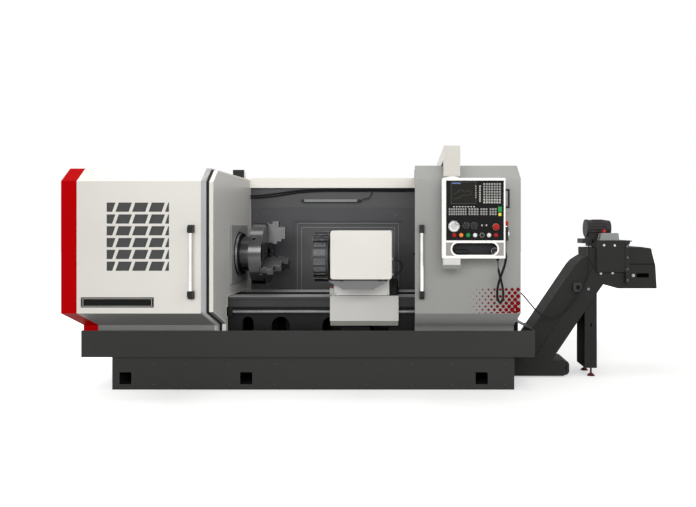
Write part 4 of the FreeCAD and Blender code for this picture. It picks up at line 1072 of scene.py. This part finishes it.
def plate_with_round_ends(name, low, high):
    """Plate whose front outline ends in half circles."""
    piece = cuboid(name, low, high)
    radius = (high[2] - low[2]) / 2 - 0.1
    bpy.ops.object.mode_set(mode="EDIT")
    bpy.ops.mesh.select_mode(type="EDGE")
    bpy.ops.mesh.select_all(action="DESELECT")
    bpy.ops.object.mode_set(mode="OBJECT")
    places = piece.data.vertices
    for edge in piece.data.edges:
        first, second = (places[index].co for index in edge.vertices)
        edge.select = abs(first.y - second.y) > MM / 10
    bpy.ops.object.mode_set(mode="EDIT")
    bpy.ops.mesh.bevel(offset=radius * MM, segments=12, affect="EDGES")
    bpy.ops.object.mode_set(mode="OBJECT")
    return piece


class LATHE_OT_paint_facets(bpy.types.Operator):
    """Roof facets painted lighter as painted light and downward facets painted darker as painted
    shade on doors and covers, and the black sheet beside the right cover
    """
    bl_idname = "lathe.paint_facets"
    bl_label = "Painted facets"

    def execute(self, context):
        painted_shade_top, bracket_drop = 640, 79
        sheet_left, sheet_top = box_mm("right_door_panel")[0].x + 832, 620
        for node in ("left_door_panel", "headstock_cover", "red_end_cap", "right_door_panel",
                     "right_cover"):
            piece = finished_copy(node, 0.0 if node.startswith("right") else 1.2)
            top = box_mm(node)[1].z
            # Roof facets get painted light
            if node in ("left_door_panel", "headstock_cover"):
                second_finish(piece, "roof_painted_light", self.faces_up)
            # Downward facets get painted shade
            if node != "red_end_cap":
                second_finish(piece, "facet_painted_shade", self.faces_down)
            if node == "headstock_cover":
                self.side_wall(piece)
            # The left door's front below the given height gets the same painted shade
            if node == "left_door_panel":
                second_finish(piece, "facet_painted_shade", lambda place, normal: normal.y < -0.9
                              and place.z < painted_shade_top)
            if "door" in node:
                second_finish(piece, "black_plastic", lambda place, normal: place.y > ROOF_END + 3
                              and place.z > top - bracket_drop)
            if node == "right_cover":
                second_finish(piece, "black_plastic", lambda place, normal: place.x > sheet_left
                              and place.z < sheet_top)
        return {"FINISHED"}

    def side_wall(self, piece):
        """Grey inner side wall within a folded white rim."""
        wall = box_mm("headstock_cover")[1].x
        pick_faces(piece, lambda place, normal: normal.x > 0.99 and place.x > (wall - 1) * MM)
        bpy.ops.mesh.inset(thickness=12 * MM, depth=0)
        bpy.ops.mesh.inset(thickness=1 * MM, depth=-1.5 * MM)
        bpy.ops.object.mode_set(mode="OBJECT")
        second_finish(piece, "side_wall", lambda place, normal: normal.x > 0.9
                      and wall - 3 < place.x < wall - 1)
        smoothed(piece)

    def faces_up(self, place, normal):
        """Facets of the sloping roof, painted paler as painted light from above."""
        return 0.3 < normal.z < 0.99 and normal.y < -0.1

    def faces_down(self, place, normal):
        """Facets that slope in towards the foot, painted darker as painted shade."""
        return -0.99 < normal.z < -0.3 and normal.y < -0.1


class LATHE_OT_bed_trim(bpy.types.Operator):
    """Finishes of the bed, saddle, cross slide, chuck jaws and pendant arm"""
    bl_idname = "lathe.bed_trim"
    bl_label = "Bed, slides and jaws"

    def execute(self, context):
        self.bed(86)
        saddle = finished_copy("saddle", 1.5)
        block = box_mm("saddle")[0].x + 39
        second_finish(saddle, "apron_paint", lambda place, normal: place.x < block)
        slide = finished_copy("cross_slide", 1.5)
        second_finish(slide, "slide_grey", lambda place, normal: normal.y < -0.3)
        for number in (1, 2, 3):
            finished_copy("chuck_jaw_%d" % number, 1.5)
        # The post takes the darker beige copy, which is painted shade
        arm = finished_copy("pendant_arm")
        # The post's left side painted bright white as a painted highlight
        second_finish(arm, "pendant_white", lambda place, normal: normal.x < -0.9)
        return {"FINISHED"}

    def bed(self, depth):
        """Ground ways, and a band of the given depth along the bed's front in the casting paint at
        its lit level, above the darker casting colour that stands for shade.
        """
        bed = finished_copy("bed_casting", 1.5)
        low, high = box_mm("bed_casting")
        with editing(bed):
            bpy.ops.mesh.bisect(plane_co=(0, 0, (high.z - depth) * MM), plane_no=WAYS["up"])
        # Upper front band at the lit level of the paint, over the painted shade below
        second_finish(bed, "bed_front_lit_band", lambda place, normal: normal.y < -0.9
                      and place.z > high.z - depth + 1 and place.y < low.y + 120)
        second_finish(bed, "ground_way", lambda place, normal: normal.z > 0.9
                      and place.z > high.z - 2)
        smoothed(bed)


class LATHE_OT_panel_trim(bpy.types.Operator):
    """Keys, display fields and bezels of the operating panel"""
    bl_idname = "lathe.panel_trim"
    bl_label = "Panel trim"

    def execute(self, context):
        low, high = box_mm("panel_plate")
        self.left, self.top, self.front = low.x, high.z, low.y
        self.keys("keyboard", "key_grey", (281, 422), (17, 137), 7, 6)
        self.keys("keyboard_lower_rows", "key_pale", (281, 422), (137, 178), 7, 2)
        self.keys("soft_keys_left", "key_grey", (221, 234), (36, 138), 1, 6)
        self.keys("soft_keys_right", "key_pale", (250, 268), (36, 166), 1, 8)
        self.keys("panel_labels", "label_white", (48, 225), (195, 207), 8, 1, 0.55)
        for number, across, columns in ((1, (17, 158), 8), (2, (168, 250), 4),
                                        (3, (260, 319), 3), (4, (330, 389), 3)):
            self.keys("machine_keys_%d" % number, "key_grey", across, (210, 268), columns, 3)
        self.keys("start_key", "green_plastic", (396, 428), (198, 243), 1, 1, 0.9)
        self.keys("hold_key", "key_yellow", (400, 424), (247, 273), 1, 1, 0.9)
        self.display()
        self.bezels()
        return {"FINISHED"}

    def spot(self, across, down):
        """Place on the panel's face, from its upper left corner."""
        return Vector((self.left + across, self.front, self.top - down))

    def keys(self, name, finish, across, down, columns, rows, share=0.7):
        """Block of moulded keys between two pairs of offsets from the panel's corner."""
        wide = (across[1] - across[0]) / columns
        tall = (down[1] - down[0]) / rows
        x, z = wide * share / 2, tall * share / 2
        cap = slab("key", (-x, -2, -z), (x, 0, z), 0.6, steps=((min(x, z) * 0.25, 0.5),))
        places = [self.spot(across[0] + wide * (column + 0.5), down[0] + tall * (row + 0.5))
                  for row in range(rows) for column in range(columns)]
        carry(spread(name, cap, places), "pendant", "white_plastic", finish)

    def display(self):
        """Frame round the display, its blue title field and two faint traces."""
        low, high = box_mm("screen")
        left, foot, right, top = low.x - 3, low.z - 3, high.x + 3, high.z + 3
        frame_bars = bars(self.front, 1.2, 0.4, (
            (left, foot, low.x, top), (high.x, foot, right, top),
            (low.x, foot, high.x, low.z), (low.x, high.z, high.x, top)))
        carry(merged("display_frame", frame_bars), "pendant", "black_plastic", "bezel_grey")
        title = slab("display_title", (low.x + 4, low.y - 0.4, high.z - 13),
                     (low.x + 72, low.y, high.z - 4), 0.1)
        carry(title, "pendant", "screen_glass", "display_blue")
        for name, drop, rises in (("upper", 92, (0, 4, 30, 34, 14, 22, 30, 12)),
                                  ("lower", 132, (0, 10, 8, 30, 26, 38, 30, 44))):
            points = [Vector((low.x + 18 + 20 * index, low.y - 0.3, high.z - drop + rise)) * MM
                      for index, rise in enumerate(rises)]
            trace = route_curve("display_trace_" + name, points)
            trace.data.bevel_depth = 0.7 * MM
            trace.data.resolution_u = 8
            only(trace)
            bpy.ops.object.convert(target="MESH")
            carry(trace, "pendant", "screen_glass", "display_trace")

    def bezels(self):
        """Rings, ticks and marks round the buttons, knobs and switches."""
        for part in frame["record"]["subparts"]:
            node = part["node"]
            if node.startswith("button_"):
                self.ring(node, 16, part["material_slot"])
        self.ring("selector_switch", 17.5, "brushed_steel", "key_pale")
        self.ring("estop_button", 26.5, "orange_plastic", "peach_ring")
        for node in ("feed_knob", "spindle_knob"):
            low, high = box_mm(node)
            centre = (low + high) / 2
            self.ring(node, 22, "black_plastic", "bezel_grey")
            tick = slab("tick", (-1.2, -0.5, -2.5), (1.2, 0, 2.5), 0.2)
            places = [about((centre.x, 0, centre.z), "back", 30 * number) @ Matrix.Translation(
                Vector((centre.x, self.front, centre.z + 26)) * MM)
                for number in range(12) if number != 6]
            carry(spread(node + "_ticks", tick, places), "pendant", "white_plastic",
                  "key_grey")
        low, high = box_mm("key_switch")
        centre = (low + high) / 2
        marks = [slab("mark", (centre.x + side - 5, self.front - 1, centre.z - 6),
                      (centre.x + side + 5, self.front, centre.z + 6), 1.5) for side in (-16, 17)]
        carry(merged("key_marks", marks), "pendant", "white_plastic", "label_white")
        low, high = box_mm("mpg_handwheel")
        centre = (low + high) / 2
        wheel = finished_copy("mpg_handwheel")
        shape_face(wheel, "front", ((6, 0), (1, -0.8)))
        second_finish(wheel, "pendant_white", lambda place, normal: normal.y < -0.9 and math.hypot(
            place.x - centre.x, place.z - centre.z) > 28)
        smoothed(wheel)

    def ring(self, node, radius, slot, finish=None):
        """Bezel round a control."""
        low, high = box_mm(node)
        centre = (low + high) / 2
        ring = turned_piece(node + "_bezel", (centre.x, self.front, centre.z), radius, 2.5,
                            steps=((2, 0.5), (1.5, -0.8)), sides=32)
        carry(ring, "pendant", slot, finish)


class LATHE_OT_pendant_trim(bpy.types.Operator):
    """Grab handle, storage tray, square hub cover and hand unit of the pendant"""
    bl_idname = "lathe.pendant_trim"
    bl_label = "Pendant trim"

    def execute(self, context):
        low, high = box_mm("pendant_box")
        plate_low, plate_high = box_mm("panel_plate")
        right, front, height = plate_high.x + 13, plate_low.y + 4, plate_high.z - 525
        self.tray(low.x, front, height)
        # Hub cover in a greyed white: painted shade under the pendant box
        hub = slab("hub_cover", (low.x + 8, front + 2, low.z),
                   (low.x + 141, front + 126, low.z + 79.5), 1)
        carry(hub, "pendant", "white_paint", "hub_white_in_painted_shade")
        # Band on the hub's lower front painted darker as painted shade
        skirt = slab("hub_painted_shade_band", (low.x + 7.5, front + 1, low.z),
                     (low.x + 141.5, front + 30, low.z + 31), 0.8)
        carry(skirt, "pendant", "white_paint", "lip_painted_shade")
        box = finished_copy("pendant_box")
        second_finish(box, "black_plastic", lambda place, normal: place.x > right + 1)
        # Inner faces of the tray painted dark as painted shade
        second_finish(box, "tray_painted_shade", lambda place, normal: front + 3 < place.y < front + 71
                      and low.x + 76 < place.x < low.x + 425 and abs(place.z - height) < 46.5)
        gland = turned_piece("cord_gland", (*curly_route[0][:2], low.z + 80), 11, 18, "down",
                             ((2, 3), (2, 0)), 12)
        carry(gland, "pendant", "black_plastic")
        self.hand_unit()
        return {"FINISHED"}

    def tray(self, left, front, height):
        """White rim of the tray on its mottled field, and what lies in the tray."""
        field = slab("tray_field", (left + 29, front - 0.6, height - 52),
                     (left + 473, front, height + 49), 0)
        opening = plate_with_round_ends("opening", (left + 70, front - 9, height - 52.5),
                                        (left + 431, front + 9, height + 52.5))
        only(field)
        cut = field.modifiers.new("Tray opening", "BOOLEAN")
        cut.object = opening
        bpy.ops.object.modifier_apply(modifier=cut.name)
        bpy.data.objects.remove(opening)
        carry(field, "pendant", "white_paint", "pendant_field")
        rim = plate_with_round_ends("tray_rim", (left + 64, front - 3, height - 58.5),
                                    (left + 437, front, height + 58.5))
        shape_face(rim, "front", ((13, 0), (0, -2.9)))
        pick_faces(rim, lambda place, normal: abs(normal.y) > 0.99 and place.y > (front - 1) * MM)
        bpy.ops.mesh.delete(type="FACE")
        bpy.ops.object.mode_set(mode="OBJECT")
        carry(smoothed(rim), "pendant", "white_paint", "pendant_white")
        tin = turned_piece("round_tin", (left + 405, front + 30, height - 18), 27, 22,
                           steps=((3, 0), (0.5, -8)), sides=40)
        carry(tin, "pendant", "silver_paint", "key_grey")
        # Bottom of the tin's hollow painted dark as painted shade
        second_finish(tin, "tray_painted_shade",
                      lambda place, normal: normal.y < -0.9 and place.y > front + 10)
        disc = turned_piece("tin_disc", (left + 412, front + 12, height - 33), 11, 6,
                            steps=((3, 0), (1, -1)), sides=24)
        carry(disc, "pendant", "silver_paint", "key_grey")
        pad = slab("tray_pad", (left + 88, front + 10, height - 45),
                   (left + 205, front + 62, height - 6), 14)
        carry(pad, "pendant", "black_rubber")

    def hand_unit(self):
        """Red stop, bright neck and dial of the hung hand unit."""
        unit = finished_copy("hand_pendant", 3)
        low, high = box_mm("hand_pendant")
        second_finish(unit, "red_plastic", lambda place, normal: place.z > high.z - 34
                      and place.x > low.x + 12)
        second_finish(unit, "satin_chrome", lambda place, normal: high.z - 47 < place.z
                      < high.z - 36 or place.x > low.x + 31)


class LATHE_OT_conveyor_trim(bpy.types.Operator):
    """Bolts, latch, slot, seam and fittings of the chip conveyor"""
    bl_idname = "lathe.conveyor_trim"
    bl_label = "Conveyor trim"

    def execute(self, context):
        low, high = box_mm("conveyor_guard")
        front = low.y + 12
        bolts = [(2617.8, front, 1224.3), (2716.6, front, 1222.4), (2597.5, front + 30, 962.1),
                 (2706.4, front + 30, 965.8)]
        carry(spread("guard_bolts", bolt_head(9), bolts), "machine", "brushed_steel",
              "label_white")
        flange = [(high.x - 13, low.y, z) for z in (1215, 1110, 1005, 900)]
        carry(spread("flange_bolts", bolt_head(8), flange), "machine", "chuck_steel")
        latch = [slab("plate", (high.x, low.y + 4, 1238), (high.x + 12, low.y + 22, 1270), 2),
                 slab("arm", (high.x + 8, low.y + 6, 1258), (high.x + 31, low.y + 16, 1268), 3)]
        carry(merged("hood_latch", latch), "machine", "black_plastic")
        self.take_up()
        self.incline()
        self.drive()
        return {"FINISHED"}

    def take_up(self):
        """Slot and screw for the belt's tension, and the seam of the discharge head."""
        low, high = box_mm("conveyor_casing")
        # The slot's recess painted near black as painted shade
        recess = slab("take_up_slot", (2930, low.y - 2, 925), (3043, low.y, 964), 1,
                      steps=((5, 0), (0.5, -1.6)))
        carry(recess, "machine", "black_rubber", "slot_shade_and_seam_black")
        seam = slab("head_seam", (high.x - 272, low.y - 1, 1046), (high.x - 16, low.y, 1052), 0.4)
        carry(seam, "machine", "black_rubber", "slot_shade_and_seam_black")
        nut = [turned_piece("nut", (2897, low.y, 943), 16, 10, steps=((2, 1),), sides=6),
               turned_piece("screw", (2897, low.y - 10, 943), 7, 8, steps=((1, 0.5),))]
        carry(merged("take_up_screw", nut), "machine", "brushed_steel", "key_pale")

    def incline(self):
        """Stud of the cable hook on the incline."""
        low, high = box_mm("conveyor_casing")
        pin = turned_piece("hook_pin", (2480, low.y, 818), 13, 12, steps=((1.5, 1),))
        carry(pin, "machine", "chuck_steel", "lamp_body")

    def drive(self):
        """Fan grille and terminal box of the motor, glands and screws of the switch box."""
        low, high = box_mm("conveyor_motor")
        centre = (low + high) / 2
        middle = Vector((high.x, centre.y, high.z - 86))
        grille = turned_piece("fan_grille", middle - Vector((1, 0, 0)), 66, 3, "right",
                              ((8, 0), (2, -1.5), (10, 0), (2, 1.5), (10, 0), (2, -1.5)), 40)
        carry(grille, "machine", "dark_grey_paint", "motor_paint")
        terminal = slab("terminal_box", (low.x + 120, centre.y - 45, high.z - 18),
                        (low.x + 205, centre.y + 45, high.z - 1), 4, "up", ((6, 0), (2, -2)))
        carry(terminal, "machine", "dark_grey_paint", "motor_paint")
        low, high = box_mm("conveyor_switch_box")
        glands = [turned_piece("nut", (low.x + reach, low.y + 20, low.z + 30), radius, height,
                               "left", ((2, 2),), sides)
                  for reach, radius, height, sides in ((24, 15, 7, 6), (14, 12, 8, 12))]
        carry(merged("box_gland", glands), "machine", "black_plastic")
        screws = [(x, low.y, z) for x, z in corners((low.x + 48, low.z), (high.x - 6, high.z), 10)]
        carry(spread("box_screws", socket_screw(5), screws), "machine", "brushed_steel")


# Round solids, each with the radius in millimetres that its edges get
ROUND_NODES = {
    "spindle": 0.0, "chuck_body": 1.5, "quill": 0.0, "tailstock_body": 2.0, "turret_disc": 0.0,
    "conveyor_motor": 1.0, "z_ball_screw": 0.0, "feed_knob": 0.6, "spindle_knob": 0.6,
    "selector_switch": 0.6, "key_switch": 0.4, "estop_button": 1.0, "conveyor_estop": 2.0,
    "conveyor_feet": 1.0, "cable_ring": 2.0, "button_red": 0.0, "button_orange": 0.0,
    "button_green": 0.0, "button_white": 0.0, "button_white_right": 0.0,
    "button_red_right": 0.0,
}


class LATHE_OT_finishes(bpy.types.Operator):
    """Finish of every solid: smooth copies of the round ones, and paint on the rest"""
    bl_idname = "lathe.finishes"
    bl_label = "Finishes"

    def execute(self, context):
        make_finishes()
        for part in frame["record"]["subparts"]:
            solid = frame["nodes"][part["node"]]
            solid.data.materials.clear()
            own = OWN_FINISH.get(part["node"], part["material_slot"])
            solid.data.materials.append(finishes[own])
        for node, edge in ROUND_NODES.items():
            finished_copy(node, edge)
        return {"FINISHED"}


class LATHE_OT_stage(bpy.types.Operator):
    """Camera at the photograph's place, white floor and soft studio light"""
    bl_idname = "lathe.stage"
    bl_label = "Stage"

    def execute(self, context):
        scene = context.scene
        stage = scene.lathe_stage
        deselect()
        bpy.ops.object.camera_add(location=stage.camera, rotation=(math.radians(90), 0, 0))
        camera = context.object
        camera.data.lens = stage.lens
        camera.data.sensor_width = 36
        picture_width, right, up = 696, -64, -25.5
        camera.data.shift_x = right / picture_width
        camera.data.shift_y = up / picture_width
        scene.camera = camera
        bpy.ops.mesh.primitive_plane_add(size=60, location=(0.6, 0, -0.001))
        floor = named("studio_floor")
        floor.data.materials.append(self.floor_material())
        self.light("key_light", (0.6, -8.5, 3.6), (0.5, 0.0, 1.0), (8.0, 2.5), stage.key)
        self.light("fill_light", (5.5, -4.0, 3.0), (0.6, 0.0, 0.9), (3.5, 3.5), stage.fill)
        self.light("top_light", (-0.3, -0.5, 5.0), (-0.3, -0.4, 1.0), (6.0, 1.2), stage.top)
        self.surround(scene, stage.sky)
        scene.view_settings.view_transform = "Standard"
        return {"FINISHED"}

    def light(self, name, place, aim, size, power):
        """Rectangular light that faces the place it is aimed at."""
        bpy.ops.object.light_add(type="AREA", location=place)
        lamp = bpy.context.object
        lamp.name = name
        lamp.data.shape = "RECTANGLE"
        lamp.data.size, lamp.data.size_y = size
        lamp.data.energy = power
        lamp.rotation_euler = (Vector(aim) - Vector(place)).to_track_quat("-Z", "Y").to_euler()

    def shown(self, tree):
        """1 for what the camera sees directly, in a mirror or through glass."""
        path = add(tree, "ShaderNodeLightPath")
        mirrored = add(tree, "ShaderNodeMath", {0: path.outputs["Is Camera Ray"],
                                                1: path.outputs["Is Glossy Ray"]},
                       operation="MAXIMUM")
        through = add(tree, "ShaderNodeMath", {0: mirrored.outputs[0],
                                               1: path.outputs["Is Transmission Ray"]},
                      operation="MAXIMUM")
        return through.outputs[0]

    def floor_material(self):
        """White paper floor: pure white away from the machine, with the machine's soft shadow."""
        made, tree = material("white_studio_floor")
        place = add(tree, "ShaderNodeTexCoord")
        reach = add(tree, "ShaderNodeVectorMath", {0: place.outputs["Object"],
                                                   1: (0.6, 0.0, 0.0)}, operation="DISTANCE")
        level = add(tree, "ShaderNodeMapRange", {"Value": reach.outputs["Value"], 1: 2.4, 2: 4.4,
                                                 3: 0.42, 4: 1.0})
        matt = add(tree, "ShaderNodeBsdfDiffuse", {"Color": linear("#e4e4e3")})
        pale = add(tree, "ShaderNodeBsdfDiffuse", {"Color": linear("#b0b0b0")})
        glow = add(tree, "ShaderNodeEmission", {"Color": (1, 1, 1, 1),
                                                "Strength": level.outputs[0]})
        both = add(tree, "ShaderNodeAddShader", {0: matt.outputs[0], 1: glow.outputs[0]})
        seen = add(tree, "ShaderNodeMixShader", {0: self.shown(tree), 1: pale.outputs[0],
                                                 2: both.outputs[0]})
        add(tree, "ShaderNodeOutputMaterial", {"Surface": seen.outputs[0]})
        return made

    def surround(self, scene, strength):
        """White surroundings that light the machine less than they show."""
        world = bpy.data.worlds.new("studio_surround")
        world.use_nodes = True
        tree = world.node_tree
        tree.nodes.clear()
        level = add(tree, "ShaderNodeMapRange", {"Value": self.shown(tree), 1: 0.0, 2: 1.0,
                                                 3: strength, 4: 1.0})
        light = add(tree, "ShaderNodeBackground", {"Color": (1, 1, 1, 1),
                                                   "Strength": level.outputs[0]})
        add(tree, "ShaderNodeOutputWorld", {"Surface": light.outputs[0]})
        scene.world = world


class LATHE_PT_panel(bpy.types.Panel):
    """Sidebar panel with the machine's settings and the steps that build it"""
    bl_idname = "LATHE_PT_panel"
    bl_label = "Flat bed lathe"
    bl_space_type = "VIEW_3D"
    bl_region_type = "UI"
    bl_category = "Lathe"

    def draw(self, context):
        for group in (context.scene.lathe_colours, context.scene.lathe_sizes,
                      context.scene.lathe_stage):
            for key in group.__annotations__:
                self.layout.prop(group, key)
        for step in STEPS:
            self.layout.operator(step.bl_idname)


STEPS = (LATHE_OT_finishes, LATHE_OT_paint_facets, LATHE_OT_bed_trim, LATHE_OT_cables,
         LATHE_OT_curly_cord, LATHE_OT_door_trim, LATHE_OT_printed_dots, LATHE_OT_spindle_trim,
         LATHE_OT_carriage_trim, LATHE_OT_enclosure_trim, LATHE_OT_panel_trim,
         LATHE_OT_pendant_trim, LATHE_OT_conveyor_trim, LATHE_OT_stage)
GROUPS = {"lathe_colours": LatheColours, "lathe_sizes": LatheSizes, "lathe_stage": LatheStage}


def register():
    for item in (*GROUPS.values(), *STEPS, LATHE_PT_panel):
        bpy.utils.register_class(item)
    for name, group in GROUPS.items():
        setattr(bpy.types.Scene, name, bpy.props.PointerProperty(type=group))


def unregister():
    for name in GROUPS:
        delattr(bpy.types.Scene, name)
    for item in reversed((*GROUPS.values(), *STEPS, LATHE_PT_panel)):
        bpy.utils.unregister_class(item)


def main():
    register()
    for step in STEPS:
        group, name = step.bl_idname.split(".")
        getattr(getattr(bpy.ops, group), name)()


if __name__ == "__main__":
    main()
